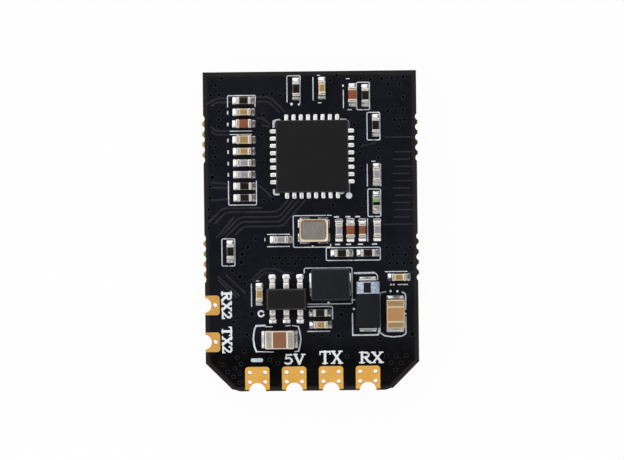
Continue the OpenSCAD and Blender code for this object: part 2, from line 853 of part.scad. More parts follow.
// Joints at both ends of a small chip
module chip_joints(l) {
    end_fillets(l, chip_toe, chip_joint_w, chip_climb);
}

// Joints at both ends of a large chip
module power_joints() {
    end_fillets(power_chip_l, power_toe, power_chip_w, power_climb);
}

// Joints at all lands of a leadless package
module land_joints(size, pins) {
    each_land(size, pins) fillet(lead_toe, lead_w, lead_t);
}

// Joints at the three feet of an antenna socket
module socket_joints() {
    reach = socket_base + 2 * socket_foot;
    end_fillets(reach, chip_toe, socket_foot_w, socket_foot_t);
    rotate(-90) translate([reach / 2, 0, 0]) fillet(chip_toe, socket_pin_d, socket_foot_t);
}

// Every solder joint on the component side
module solder_joints_front() {
    color(SOLDER) {
        for (p = CAPACITORS) on_front(p[1]) chip_joints(p[3][0]);
        for (p = RESISTORS) on_front(p[1]) chip_joints(chip_l);
        for (p = POWER_CHIPS) on_front(p[1]) power_joints();
        on_front(LED_AT) chip_joints(chip_l);
        on_front(TANTALUM_AT) end_fillets(tantalum_l, strap_toe, strap_w, strap_climb);
        on_front(INDUCTOR_AT) end_fillets(inductor_l, inductor_toe, inductor_cap_w, inductor_climb);
        on_front(MCU_AT) land_joints(mcu_size, mcu_pins);
        on_front(CRYSTAL_AT) case_joints();
        on_front(REGULATOR_AT) each_gull()
            translate([gull_span / 2, 0, 0]) fillet(foot_toe, foot_joint_w, gull_t);
    }
}

// Every solder joint on the back
module solder_joints_back() {
    color(SOLDER) {
        for (p = RADIOS) on_back(p[1]) land_joints(radio_size, radio_pins);
        for (p = REAR_CHIPS) on_back(p[1]) chip_joints(p[3][0]);
        for (p = SOCKETS) on_back(p[1]) socket_joints();
        on_back(RESERVOIR_AT) power_joints();
        on_back(OSCILLATOR_AT) case_joints();
    }
}

circuit_board();
for (i = [0:len(LOWER) - 1]) lower_contact(i);
for (i = [0:len(SIDE) - 1]) side_contact(i);
solder_joints_front();
solder_joints_back();
microcontroller_body();
microcontroller_leads();
crystal_case();
crystal_lid();
regulator_body();
regulator_leads();
power_inductor();
tantalum_capacitor();
status_led();
for (p = POWER_CHIPS) on_front(p[1]) power_chip(p[2]);
for (p = CAPACITORS) on_front(p[1]) small_capacitor(p[2], p[3]);
for (p = RESISTORS) on_front(p[1]) chip_resistor();
for (p = RADIOS) transceiver(p[1]);
transceiver_leads();
for (p = SOCKETS) socket_base(p[1]);
for (p = SOCKETS) socket_shell(p[1]);
for (p = SOCKETS) socket_pin(p[1]);
oscillator();
on_back(RESERVOIR_AT) power_chip(TAN);  // reservoir_capacitor
for (p = REAR_CHIPS) on_back(p[1]) small_capacitor(p[2], p[3]);
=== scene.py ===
"""Looks of a radio-control receiver module: board, parts, solder and printed legend in a white studio."""

import logging
import math
import random
from dataclasses import dataclass
from enum import Enum
from functools import cache
from typing import Iterable, Iterator, Sequence

import bmesh
import bpy
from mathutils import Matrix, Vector


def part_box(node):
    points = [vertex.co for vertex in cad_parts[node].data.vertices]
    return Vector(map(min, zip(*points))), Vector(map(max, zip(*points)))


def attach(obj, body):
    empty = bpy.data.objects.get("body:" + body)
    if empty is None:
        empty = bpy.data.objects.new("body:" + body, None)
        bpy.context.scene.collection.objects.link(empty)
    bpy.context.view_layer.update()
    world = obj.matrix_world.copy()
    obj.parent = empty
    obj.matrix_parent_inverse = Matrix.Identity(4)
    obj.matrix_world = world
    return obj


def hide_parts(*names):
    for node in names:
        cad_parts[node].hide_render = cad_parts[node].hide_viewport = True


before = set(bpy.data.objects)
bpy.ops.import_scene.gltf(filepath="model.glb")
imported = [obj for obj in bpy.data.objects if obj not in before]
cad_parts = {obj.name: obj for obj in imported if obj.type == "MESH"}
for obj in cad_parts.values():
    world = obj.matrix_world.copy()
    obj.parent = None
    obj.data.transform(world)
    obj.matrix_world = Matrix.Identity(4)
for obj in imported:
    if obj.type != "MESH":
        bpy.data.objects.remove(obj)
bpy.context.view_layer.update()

MM = 0.001
BODY = "root"
IMAGE_WIDTH_PX = 624
LOG = logging.getLogger("receiver")

Colour = tuple[int, int, int]
Flat = tuple[float, float]
Point = tuple[float, float, float]


# Places on the board

class Side(Enum):
    """Face of the board that a part is soldered to."""

    FRONT = 1
    BACK = -1


@dataclass(frozen=True)
class Placement:
    """A part's own frame: its middle and turn on a face of the board. Lengths are in millimetres."""

    x: float
    y: float
    turn: float
    level: float
    side: Side

    def point(self, u: float, v: float, w: float = 0.0) -> Point:
        """Gives a point of the part's own frame in the row frame.

        Args:
            u: Distance along the part.
            v: Distance across the part.
            w: Height above the face that the part stands on.

        Returns:
            The point in the row frame, in millimetres.
        """
        c, s = math.cos(math.radians(self.turn)), math.sin(math.radians(self.turn))
        return (self.x + u * c - v * s, self.y + u * s + v * c, self.level + self.side.value * w)

    def moved(self, u: float, v: float = 0.0, w: float = 0.0, turn: float = 0.0) -> "Placement":
        """Gives a frame that is shifted and turned within this one.

        Args:
            u: Shift along the part.
            v: Shift across the part.
            w: Shift away from the board.
            turn: Further turn, in degrees.

        Returns:
            The new frame.
        """
        x, y, level = self.point(u, v, w)
        return Placement(x, y, self.turn + turn, level, self.side)


@dataclass(frozen=True)
class Seat:
    """Where the solids put a part, and how large they make it."""

    place: Placement
    length: float
    width: float
    height: float

    @classmethod
    def of(cls, node: str) -> "Seat":
        """Reads a part's seat from the box of its solid.

        Args:
            node: Name of the solid.

        Returns:
            The seat, with the length along the longer side.
        """
        low, high = solid_box(node)
        middle, size = (low + high) / 2, high - low
        front = middle.z > board_middle()
        place = Placement(middle.x, middle.y, 0.0 if size.x >= size.y else 90.0,
                          low.z if front else high.z, Side.FRONT if front else Side.BACK)
        return cls(place, max(size.x, size.y), min(size.x, size.y), size.z)


@cache
def solid_box(node: str) -> tuple[Vector, Vector]:
    """Reads the box of a solid.

    Args:
        node: Name of the solid.

    Returns:
        Its lowest and highest corner, in millimetres.
    """
    low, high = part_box(node)
    return low / MM, high / MM


def board_middle() -> float:
    """Finds the middle of the laminate.

    Returns:
        Its height, in millimetres.
    """
    low, high = solid_box("circuit_board")
    return (low.z + high.z) / 2


def face_of(side: Side) -> Placement:
    """Gives the frame of a whole face of the board, about its middle.

    Args:
        side: The face.

    Returns:
        The frame.
    """
    low, high = solid_box("circuit_board")
    return Placement(0.0, 0.0, 0.0, high.z if side is Side.FRONT else low.z, side)


# Finishes

SCREEN_TOE, SCREEN_SLOPE = 0.04045, 12.92
SCREEN_OFFSET, SCREEN_POWER = 0.055, 2.4


def linear(colour: Colour) -> tuple[float, float, float, float]:
    """Turns a screen colour into a scene colour.

    Args:
        colour: Red, green and blue from 0 to 255.

    Returns:
        Linear red, green, blue and full opacity.
    """
    shares = [c / 255 for c in colour]
    return (*(c / SCREEN_SLOPE if c <= SCREEN_TOE
              else ((c + SCREEN_OFFSET) / (1 + SCREEN_OFFSET)) ** SCREEN_POWER for c in shares), 1.0)


class NodeSheet:
    """Adds nodes to a node tree and links them."""

    def __init__(self, tree: bpy.types.NodeTree) -> None:
        """Keeps the tree that nodes go into."""
        self.tree = tree

    @classmethod
    def emptied(cls, owner: bpy.types.Material | bpy.types.World) -> "NodeSheet":
        """Opens the node tree of a material or a world with nothing in it.

        Args:
            owner: The material or world.

        Returns:
            A sheet on the empty tree.
        """
        owner.use_nodes = True
        owner.node_tree.nodes.clear()
        return cls(owner.node_tree)

    def add(self, kind: str, inputs: dict | None = None, **settings: object) -> bpy.types.Node:
        """Adds one node.

        Args:
            kind: Type of the node.
            inputs: Socket names or numbers, each with a value or with the socket that feeds it.
            **settings: Properties of the node.

        Returns:
            The new node.
        """
        node = self.tree.nodes.new(kind)
        for key, value in settings.items():
            setattr(node, key, value)
        for key, value in (inputs or {}).items():
            if isinstance(value, bpy.types.NodeSocket):
                self.tree.links.new(value, node.inputs[key])
            else:
                node.inputs[key].default_value = value
        return node

    def math(self, operation: str, *values: object) -> bpy.types.NodeSocket:
        """Adds a sum, product or other operation and gives its result."""
        return self.add("ShaderNodeMath", dict(enumerate(values)), operation=operation).outputs[0]

    def along(self, vector: object, way: Point) -> bpy.types.NodeSocket:
        """Adds the share of a vector that lies along a direction and gives it."""
        return self.add("ShaderNodeVectorMath", {0: vector, 1: way}, operation="DOT_PRODUCT").outputs["Value"]

    def ramp(self, value: object, low: float, high: float) -> bpy.types.NodeSocket:
        """Adds a ramp that eases from 0 at the low value to 1 at the high one and gives its result."""
        return self.add("ShaderNodeMapRange", {"Value": value, "From Min": low, "From Max": high},
                        interpolation_type="SMOOTHSTEP").outputs["Result"]

    def blend(self, share: object, first: object, second: object) -> bpy.types.NodeSocket:
        """Adds a mix of two colours and gives its result."""
        return self.add("ShaderNodeMix", {0: share, 6: first, 7: second}, data_type="RGBA").outputs[2]

    def level(self, share: object, first: object, second: object) -> bpy.types.NodeSocket:
        """Adds a mix of two values and gives its result."""
        return self.add("ShaderNodeMix", {0: share, 2: first, 3: second}, data_type="FLOAT").outputs[0]


class Effect(Enum):
    """Surface effects that several finishes share, each built once as a node group."""

    GRAIN = "surface_grain"
    FLECKS = "filler_flecks"

    def group(self) -> bpy.types.NodeTree:
        """Gives the effect's node group, building it on first use.

        Returns:
            The group.
        """
        tree = bpy.data.node_groups.get(self.value)
        if tree is None:
            tree = bpy.data.node_groups.new(self.value, "ShaderNodeTree")
            {Effect.GRAIN: build_grain, Effect.FLECKS: build_flecks}[self](tree)
        return tree


def open_group(tree: bpy.types.NodeTree, takes: dict[str, str], gives: dict[str, str]
               ) -> tuple[NodeSheet, bpy.types.Node, bpy.types.Node]:
    """Makes a group's sockets and its two end nodes.

    Args:
        tree: The empty group.
        takes: Input names with their socket kinds.
        gives: Output names with their socket kinds.

    Returns:
        A sheet on the group, its input node and its output node.
    """
    for way, sockets in (("INPUT", takes), ("OUTPUT", gives)):
        for name, kind in sockets.items():
            tree.interface.new_socket(name=name, in_out=way, socket_type="NodeSocket" + kind)
    sheet = NodeSheet(tree)
    return sheet, sheet.add("NodeGroupInput"), sheet.add("NodeGroupOutput")


FINE_NOISE = {"Detail": 4.0, "Roughness": 0.6}
BROAD_NOISE = {"Detail": 2.0}
BROAD_SCALE = 0.12
BROAD_SHARE = 0.45
GRAIN_RAMP = (0.34, 0.66)
FLECK_RAMP = (0.12, 0.42)


def build_grain(tree: bpy.types.NodeTree) -> None:
    """Fills the group for the fine and broad unevenness of a surface.

    Args:
        tree: The empty group.
    """
    sheet, start, end = open_group(
        tree,
        {"Vector": "Vector", "Scale": "Float", "Colour": "Color", "Tint": "Color", "Amount": "Float",
         "Roughness": "Float", "Spread": "Float"},
        {"Colour": "Color", "Roughness": "Float", "Height": "Float"})
    takes = start.outputs
    fine = sheet.add("ShaderNodeTexNoise", {"Vector": takes["Vector"], "Scale": takes["Scale"], **FINE_NOISE})
    broad_scale = sheet.math("MULTIPLY", takes["Scale"], BROAD_SCALE)
    broad = sheet.add("ShaderNodeTexNoise", {"Vector": takes["Vector"], "Scale": broad_scale, **BROAD_NOISE})
    both = sheet.level(BROAD_SHARE, fine.outputs["Fac"], broad.outputs["Fac"])
    share = sheet.ramp(both, *GRAIN_RAMP)
    colour = sheet.blend(sheet.math("MULTIPLY", share, takes["Amount"]), takes["Colour"], takes["Tint"])
    swing = sheet.math("MULTIPLY", sheet.math("SUBTRACT", share, 0.5), takes["Spread"])
    for name, socket in (("Colour", colour), ("Height", fine.outputs["Fac"]),
                         ("Roughness", sheet.math("ADD", takes["Roughness"], swing))):
        tree.links.new(socket, end.inputs[name])


def build_flecks(tree: bpy.types.NodeTree) -> None:
    """Fills the group for the small bright grains that filled resin shows.

    Args:
        tree: The empty group.
    """
    sheet, start, end = open_group(
        tree, {"Vector": "Vector", "Scale": "Float", "Density": "Float"}, {"Mask": "Float"})
    takes = start.outputs
    cells = sheet.add("ShaderNodeTexVoronoi", {"Vector": takes["Vector"], "Scale": takes["Scale"]})
    lot = sheet.add("ShaderNodeSeparateColor", {"Color": cells.outputs["Color"]}).outputs[0]
    chosen = sheet.math("LESS_THAN", lot, takes["Density"])
    near = sheet.math("SUBTRACT", 1.0, sheet.ramp(cells.outputs["Distance"], *FLECK_RAMP))
    tree.links.new(sheet.math("MULTIPLY", chosen, near), end.inputs["Mask"])


@dataclass(frozen=True)
class Finish:
    """A finish with its colours, gloss, grain and flecks. Grain and relief are in millimetres."""

    name: str
    colour: Colour
    tint: Colour
    roughness: float
    spread: float = 0.1
    amount: float = 0.6
    grain: float = 0.12
    metallic: float = 0.0
    relief: float = 0.0
    coat: float = 0.0
    specular: float = 0.5
    flecks: float = 0.0
    fleck_colour: Colour = (120, 120, 118)
    fleck_size: float = 0.06

    def material(self) -> bpy.types.Material:
        """Gives the finish as a material, building it on first use.

        Returns:
            The material.
        """
        label = "finish_" + self.name
        made = bpy.data.materials.get(label)
        if made is None:
            made = bpy.data.materials.new(label)
            self.fill(NodeSheet.emptied(made))
        return made

    def fill(self, sheet: NodeSheet) -> None:
        """Builds the shader of the finish.

        Args:
            sheet: Sheet on the material's empty tree.
        """
        where = sheet.add("ShaderNodeTexCoord").outputs["Object"]
        grain = self.grained(sheet, where)
        shader = self.principled(sheet, self.flecked(sheet, where, grain.outputs["Colour"]),
                                 grain.outputs["Roughness"])
        if self.relief:
            bump = sheet.add("ShaderNodeBump", {"Height": grain.outputs["Height"], "Strength": 1.0,
                                                "Distance": self.relief * MM})
            sheet.tree.links.new(bump.outputs[0], shader.inputs["Normal"])
        sheet.add("ShaderNodeOutputMaterial", {"Surface": shader.outputs[0]})

    def grained(self, sheet: NodeSheet, where: bpy.types.NodeSocket) -> bpy.types.Node:
        """Places the grain effect with this finish's values.

        Args:
            sheet: Sheet on the material's tree.
            where: Coordinates on the surface.

        Returns:
            The effect's node.
        """
        return sheet.add("ShaderNodeGroup", {
            "Vector": where, "Scale": 1 / (self.grain * MM), "Colour": linear(self.colour),
            "Tint": linear(self.tint), "Amount": self.amount, "Roughness": self.roughness,
            "Spread": self.spread}, node_tree=Effect.GRAIN.group())

    def flecked(self, sheet: NodeSheet, where: bpy.types.NodeSocket, colour: bpy.types.NodeSocket
                ) -> bpy.types.NodeSocket:
        """Lays flecks over a colour where the finish has them.

        Args:
            sheet: Sheet on the material's tree.
            where: Coordinates on the surface.
            colour: Colour without flecks.

        Returns:
            The colour that the shader takes.
        """
        if not self.flecks:
            return colour
        group = sheet.add("ShaderNodeGroup", {"Vector": where, "Scale": 1 / (self.fleck_size * MM),
                                              "Density": self.flecks}, node_tree=Effect.FLECKS.group())
        return sheet.blend(group.outputs["Mask"], colour, linear(self.fleck_colour))

    def principled(self, sheet: NodeSheet, colour: bpy.types.NodeSocket, roughness: bpy.types.NodeSocket
                   ) -> bpy.types.Node:
        """Adds the shader itself, with its constant values on its own sockets.

        Args:
            sheet: Sheet on the material's tree.
            colour: Colour of the surface.
            roughness: Roughness of the surface.

        Returns:
            The shader's node.
        """
        return sheet.add("ShaderNodeBsdfPrincipled", {
            "Base Color": colour, "Roughness": roughness, "Metallic": self.metallic,
            "Coat Weight": self.coat, "Specular IOR Level": self.specular})


@dataclass(frozen=True)
class BoardFinish(Finish):
    """Solder mask on the board's faces, browner along the border and darker where the copper ends, and bare
    laminate on its sides and broken tabs."""

    laminate: Finish = Finish("bare_laminate", (198, 174, 108), (136, 112, 60), 0.7, 0.2, amount=0.8,
                              grain=0.09)
    face_ramp: Flat = (0.4, 0.6)
    border: Colour = (42, 39, 38)
    border_w: float = 0.34
    border_fade: Flat = (0.06, 0.16)
    board_half: float = 7.35
    corner_cut: float = 1.95
    copperless: Colour = (2, 2, 3)
    copper_ends: Flat = (-6.9, -8.9)
    tabs_at: Flat = (6.38, -1.86)
    tab_half: float = 1.6
    tab_fade: float = 0.05
    bare_left: float = 7.25
    bare_right: float = 7.37
    right_fade: float = 0.03

    def fill(self, sheet: NodeSheet) -> None:
        """Builds the shader, which tells faces from sides by the surface's own direction.

        Args:
            sheet: Sheet on the material's empty tree.
        """
        where = sheet.add("ShaderNodeTexCoord").outputs["Object"]
        mask = self.grained(sheet, where)
        bare = self.laminate.grained(sheet, where)
        normal = sheet.add("ShaderNodeNewGeometry").outputs["True Normal"]
        facing = sheet.add("ShaderNodeSeparateXYZ", {0: normal}).outputs
        place = sheet.add("ShaderNodeSeparateXYZ", {0: where}).outputs
        on_face = sheet.ramp(sheet.math("ABSOLUTE", facing["Z"]), *self.face_ramp)
        masked = sheet.math("MULTIPLY", on_face, sheet.math("SUBTRACT", 1.0, self.tab_share(sheet, place)))
        start, stop = self.copper_ends
        plain = sheet.blend(sheet.ramp(place["Y"], stop * MM, start * MM), linear(self.copperless),
                            mask.outputs["Colour"])
        face = sheet.blend(self.border_share(sheet, place), plain, linear(self.border))
        shader = self.principled(
            sheet, sheet.blend(masked, bare.outputs["Colour"], face),
            sheet.level(masked, bare.outputs["Roughness"], mask.outputs["Roughness"]))
        sheet.add("ShaderNodeOutputMaterial", {"Surface": shader.outputs[0]})

    def tab_share(self, sheet: NodeSheet, place: bpy.types.NodeOutputs) -> bpy.types.NodeSocket:
        """Adds the nodes that find the broken tabs, where the mask has come off.

        Args:
            sheet: Sheet on the material's tree.
            place: The surface's coordinates.

        Returns:
            A share from 0 on the board to 1 on the tabs.
        """
        upper, lower = (sheet.math("ABSOLUTE", sheet.math("SUBTRACT", place["Y"], y * MM))
                        for y in self.tabs_at)
        near = sheet.ramp(sheet.math("MINIMUM", upper, lower), (self.tab_half + self.tab_fade) * MM,
                          self.tab_half * MM)
        left = sheet.ramp(place["X"], -self.bare_left * MM, -(self.bare_left + self.tab_fade) * MM)
        right = sheet.ramp(place["X"], self.bare_right * MM, (self.bare_right + self.right_fade) * MM)
        return sheet.math("MULTIPLY", near, sheet.math("MAXIMUM", left, right))

    def border_share(self, sheet: NodeSheet, place: bpy.types.NodeOutputs) -> bpy.types.NodeSocket:
        """Adds the nodes that find the border, where the copper stops short of the edge.

        Args:
            sheet: Sheet on the material's tree.
            place: The surface's coordinates.

        Returns:
            A share from 0 inside to 1 at the board's edge.
        """
        low, high = solid_box("circuit_board")
        half_l = (high.y - low.y) / 2 * MM
        half_w = self.board_half * MM
        across = sheet.math("ABSOLUTE", place["X"])
        ends = sheet.math("SUBTRACT", sheet.math("ABSOLUTE", place["Y"]), half_l)
        sides = sheet.math("SUBTRACT", across, half_w)
        corner = sheet.math("SUBTRACT", sheet.math("SUBTRACT", across, place["Y"]),
                            half_w + half_l - self.corner_cut * MM)
        nearest = sheet.math("MAXIMUM", sheet.math("MAXIMUM", ends, sides),
                             sheet.math("MULTIPLY", corner, math.sqrt(0.5)))
        inner, outer = self.border_fade
        return sheet.ramp(nearest, -(self.border_w + inner) * MM, (outer - self.border_w) * MM)


CERAMIC = {"roughness": 0.36, "spread": 0.12, "coat": 0.3, "flecks": 0.08}
# Gloss of the lighter edge finishes, which paint highlights on rounded upper edges.
EDGE = {"roughness": 0.4, "spread": 0.12}
TINNED = {"spread": 0.14, "grain": 0.07, "relief": 0.003}
GILDED = {"roughness": 0.5, "spread": 0.16, "metallic": 0.3, "grain": 0.1, "relief": 0.004}


class Look(Enum):
    """Every finish on the module."""

    MASK = BoardFinish("solder_mask", (18, 19, 27), (23, 24, 32), 0.18, 0.05, grain=0.5)
    TRACE = Finish("masked_copper", (30, 30, 38), (38, 38, 46), 0.3, 0.08)
    VIA_RIM = Finish("via_rim", (22, 23, 30), (30, 31, 38), 0.3, 0.08, specular=0.3)
    # Centre of a covered via: the darker mask over the empty hole, with painted shade of its pit, taking almost
    # no gloss.
    VIA_EYE = Finish("via_eye", (2, 2, 3), (5, 5, 7), 0.7, specular=0.01)
    GOLD = Finish("gold_flash", (240, 178, 72), (250, 198, 102), **GILDED)
    # Darker, more orange gold of the left contacts.
    DARKER_GOLD = Finish("darker_gold", (224, 166, 74), (234, 184, 102), **GILDED)
    SOLDER = Finish("bright_solder", (240, 240, 242), (226, 224, 224), 0.24, 0.1, metallic=0.92, grain=0.15)
    # Painted light: brighter, whiter copy of the solder for the lands beside the leadless packages, which sit
    # in their shade.
    LAND_SOLDER = Finish("land_solder", (250, 250, 251), (242, 241, 240), 0.26, 0.08, metallic=0.88, grain=0.1)
    TIN = Finish("matte_tin", (190, 184, 177), (160, 152, 143), 0.34, metallic=0.8, **TINNED)
    DULL_TIN = Finish("dull_tin", (208, 200, 190), (150, 141, 130), 0.4, 0.16, amount=0.9, metallic=0.7,
                      grain=0.14, relief=0.003)
    WARM_TIN = Finish("warm_tin", (196, 164, 126), (164, 132, 96), 0.34, metallic=0.7, **TINNED)
    # Painted highlight: pale warm tin on the upper edges of the larger chips' ends.
    WARM_TIN_HIGHLIGHT = Finish("painted_warm_tin_highlight", (238, 212, 174), (214, 182, 140), metallic=0.4, grain=0.07, **EDGE)
    LEAD = Finish("plated_lead", (240, 238, 235), (220, 216, 211), 0.32, metallic=0.85, **TINNED)
    # Painted highlight: pale tin on the upper edges of chip ends, and on the input capacitor's ceramic edge.
    TIN_EDGE = Finish("tin_edge", (248, 238, 224), (228, 216, 198), metallic=0.4, grain=0.07, **EDGE)
    EPOXY = Finish("black_epoxy", (20, 20, 22), (27, 27, 28), 0.5, 0.1, grain=0.08, relief=0.004,
                   specular=0.15, flecks=0.05, fleck_colour=(42, 42, 42))
    # Painted highlight: lighter epoxy on the top bevels of moulded packages.
    EPOXY_EDGE = Finish("epoxy_edge", (76, 71, 68), (64, 60, 57), 0.5, 0.1, grain=0.1, specular=0.15)
    # Painted highlight: pale bluish grey on the inductor block's upper edge.
    INDUCTOR_HIGHLIGHT = Finish("painted_powder_highlight", (58, 64, 72), (78, 86, 94), 0.5, 0.12, grain=0.1, specular=0.2)
    INDUCTOR = Finish("pressed_powder", (20, 23, 28), (28, 32, 36), 0.5, 0.12, grain=0.07, relief=0.004,
                      specular=0.15, flecks=0.06, fleck_colour=(44, 48, 52))
    TANTALUM = Finish("moulded_case", (18, 19, 24), (25, 26, 31), 0.45, 0.1, grain=0.09, relief=0.004,
                      specular=0.15)
    INK = Finish("legend_ink", (248, 252, 255), (176, 190, 204), 0.6, 0.1, amount=0.9, grain=0.15)
    FULL_INK = Finish("full_ink", (250, 253, 255), (228, 238, 250), 0.6, 0.1, grain=0.15)
    BAND_INK = Finish("band_ink", (226, 236, 250), (96, 114, 144), 0.55, 0.1, amount=0.9, grain=0.16)
    TAN = Finish("tan_ceramic", (174, 140, 88), (150, 116, 68), fleck_colour=(196, 166, 118),
                 **CERAMIC | {"flecks": 0.1})
    # Painted highlight: pale tan on the upper edges of tan chips.
    TAN_HIGHLIGHT = Finish("painted_tan_highlight", (236, 216, 178), (214, 188, 142), **EDGE)
    RUST = Finish("rust_ceramic", (148, 80, 45), (128, 63, 32), fleck_colour=(178, 108, 72), **CERAMIC)
    LILAC = Finish("lilac_ceramic", (156, 151, 160), (136, 131, 142), fleck_colour=(182, 176, 184), **CERAMIC)
    # Painted highlight: pale lilac on the upper edges of lilac chips.
    LILAC_HIGHLIGHT = Finish("painted_lilac_highlight", (212, 207, 210), (190, 185, 190), **EDGE)
    BROWN = Finish("brown_ceramic", (150, 102, 66), (130, 84, 52), fleck_colour=(168, 120, 82), **CERAMIC)
    SAND = Finish("sand_ceramic", (196, 148, 94), (176, 128, 76), fleck_colour=(212, 166, 114), **CERAMIC)
    ALUMINA = Finish("white_alumina", (225, 222, 214), (206, 202, 192), 0.55, 0.1)
    GLAZE = Finish("black_glaze", (17, 14, 12), (25, 20, 17), 0.3, 0.1, grain=0.1, specular=0.25)
    LENS_GREEN = Finish("green_resin", (142, 176, 122), (116, 160, 94), 0.2, 0.08, coat=0.4)
    LENS_DARK = Finish("dark_resin", (3, 10, 1), (1, 5, 1), 0.3, 0.08, specular=0.03)
    LENS_PALE = Finish("pale_resin", (184, 204, 164), (200, 206, 186), 0.3, 0.08)
    LID = Finish("nickel_lid", (156, 152, 146), (122, 118, 113), 0.44, 0.16, amount=0.9, grain=0.06,
                 metallic=0.4, relief=0.003)
    # Painted shade: darker, browner copy of the seal ring for the step round the lid.
    SEAL_STEP = Finish("seal_step", (144, 116, 90), (114, 90, 68), 0.4, 0.14, metallic=0.35, grain=0.1)
    SEAL = Finish("seal_ring", (254, 240, 214), (240, 217, 184), 0.36, 0.12, metallic=0.5, grain=0.1)
    CASE = Finish("fired_case", (58, 52, 46), (44, 40, 36), 0.55, 0.1)
    INSULATOR = Finish("cream_insulator", (232, 228, 216), (216, 210, 196), 0.5, 0.1)

    def material(self) -> bpy.types.Material:
        """The look's material."""
        return self.value.material()


# Mesh building

TINY = 1e-4
QUADRANTS = ((1, 1), (-1, 1), (-1, -1), (1, -1))
END_TURNS = (18, 42, 66)
MITRE_LEAST = 0.6


def rounded_loop(length: float, width: float, radius: float, steps: int = 4) -> list[Flat]:
    """Outline of a rectangle with round corners about its middle, counter-clockwise.

    Args:
        length: Size along u.
        width: Size along v.
        radius: Corner radius.
        steps: Facets in a corner.

    Returns:
        The outline's points, always the same number for the same steps.
    """
    r = max(TINY, min(radius, length / 2 - TINY, width / 2 - TINY))
    points = []
    for corner, (su, sv) in enumerate(QUADRANTS):
        for i in range(steps + 1):
            a = math.radians(90 * corner + 90 * i / steps)
            points.append((su * (length / 2 - r) + r * math.cos(a), sv * (width / 2 - r) + r * math.sin(a)))
    return points


def rounded_profile(height: float, low: float, high: float, steps: int = 4) -> list[Flat]:
    """Side view of a block with rounded lower and upper edges.

    Args:
        height: Height of the block.
        low: Radius of the lower edge.
        high: Radius of the upper edge.
        steps: Facets in an edge.

    Returns:
        Insets with their heights, from the bottom up.
    """
    turns = [math.radians(90 * i / steps) for i in range(steps + 1)]
    bottom = [(low * (1 - math.sin(a)), low * (1 - math.cos(a))) for a in turns] if low else [(0.0, 0.0)]
    top = [(high * (1 - math.cos(a)), height - high * (1 - math.sin(a))) for a in turns]
    return bottom + top


def circle_loop(radius: float, steps: int) -> list[Flat]:
    """Outline of a circle, counter-clockwise.

    Args:
        radius: Radius of the circle.
        steps: Facets round it.

    Returns:
        The outline's points.
    """
    return [(radius * math.cos(2 * math.pi * i / steps), radius * math.sin(2 * math.pi * i / steps))
            for i in range(steps)]


def softened(path: Sequence[Flat], radius: float, steps: int = 4) -> list[Flat]:
    """Rounds the inner corners of a path.

    Args:
        path: Corner points of the path.
        radius: Length that is cut from each leg at a corner.
        steps: Facets in a corner.

    Returns:
        The path with a curve at each corner.
    """
    if len(path) < 3:
        return list(path)
    points = [path[0]]
    for before, corner, after in zip(path, path[1:], path[2:]):
        c = Vector(corner)
        legs = [Vector(before) - c, Vector(after) - c]
        a, b = (c + leg.normalized() * min(radius, leg.length / 2) for leg in legs)
        for i in range(steps + 1):
            t = i / steps
            points.append(tuple(a * (1 - t) ** 2 + c * 2 * t * (1 - t) + b * t ** 2))
    points.append(path[-1])
    return points


def stroke_sections(path: Sequence[Flat], width: float) -> Iterator[tuple[Vector, Vector]]:
    """Left and right points of a stroke of even width with round ends.

    Args:
        path: Points along the middle of the stroke.
        width: Width of the stroke.

    Yields:
        The pairs of points, from the start to the end of the stroke.
    """
    middle = [Vector(p) for p in path]
    half = width / 2
    legs = [(b - a).normalized() for a, b in zip(middle, middle[1:])]
    ease = [math.radians(a) for a in END_TURNS]
    left = [Vector((-leg.y, leg.x)) for leg in legs]
    for a in ease:
        p = middle[0] - legs[0] * half * math.cos(a)
        yield p + left[0] * half * math.sin(a), p - left[0] * half * math.sin(a)
    for i, p in enumerate(middle):
        one, two = left[max(0, i - 1)], left[min(i, len(left) - 1)]
        out = (one + two).normalized()
        reach = out * half / max(MITRE_LEAST, out.dot(two))
        yield p + reach, p - reach
    for a in reversed(ease):
        p = middle[-1] + legs[-1] * half * math.cos(a)
        yield p + left[-1] * half * math.sin(a), p - left[-1] * half * math.sin(a)


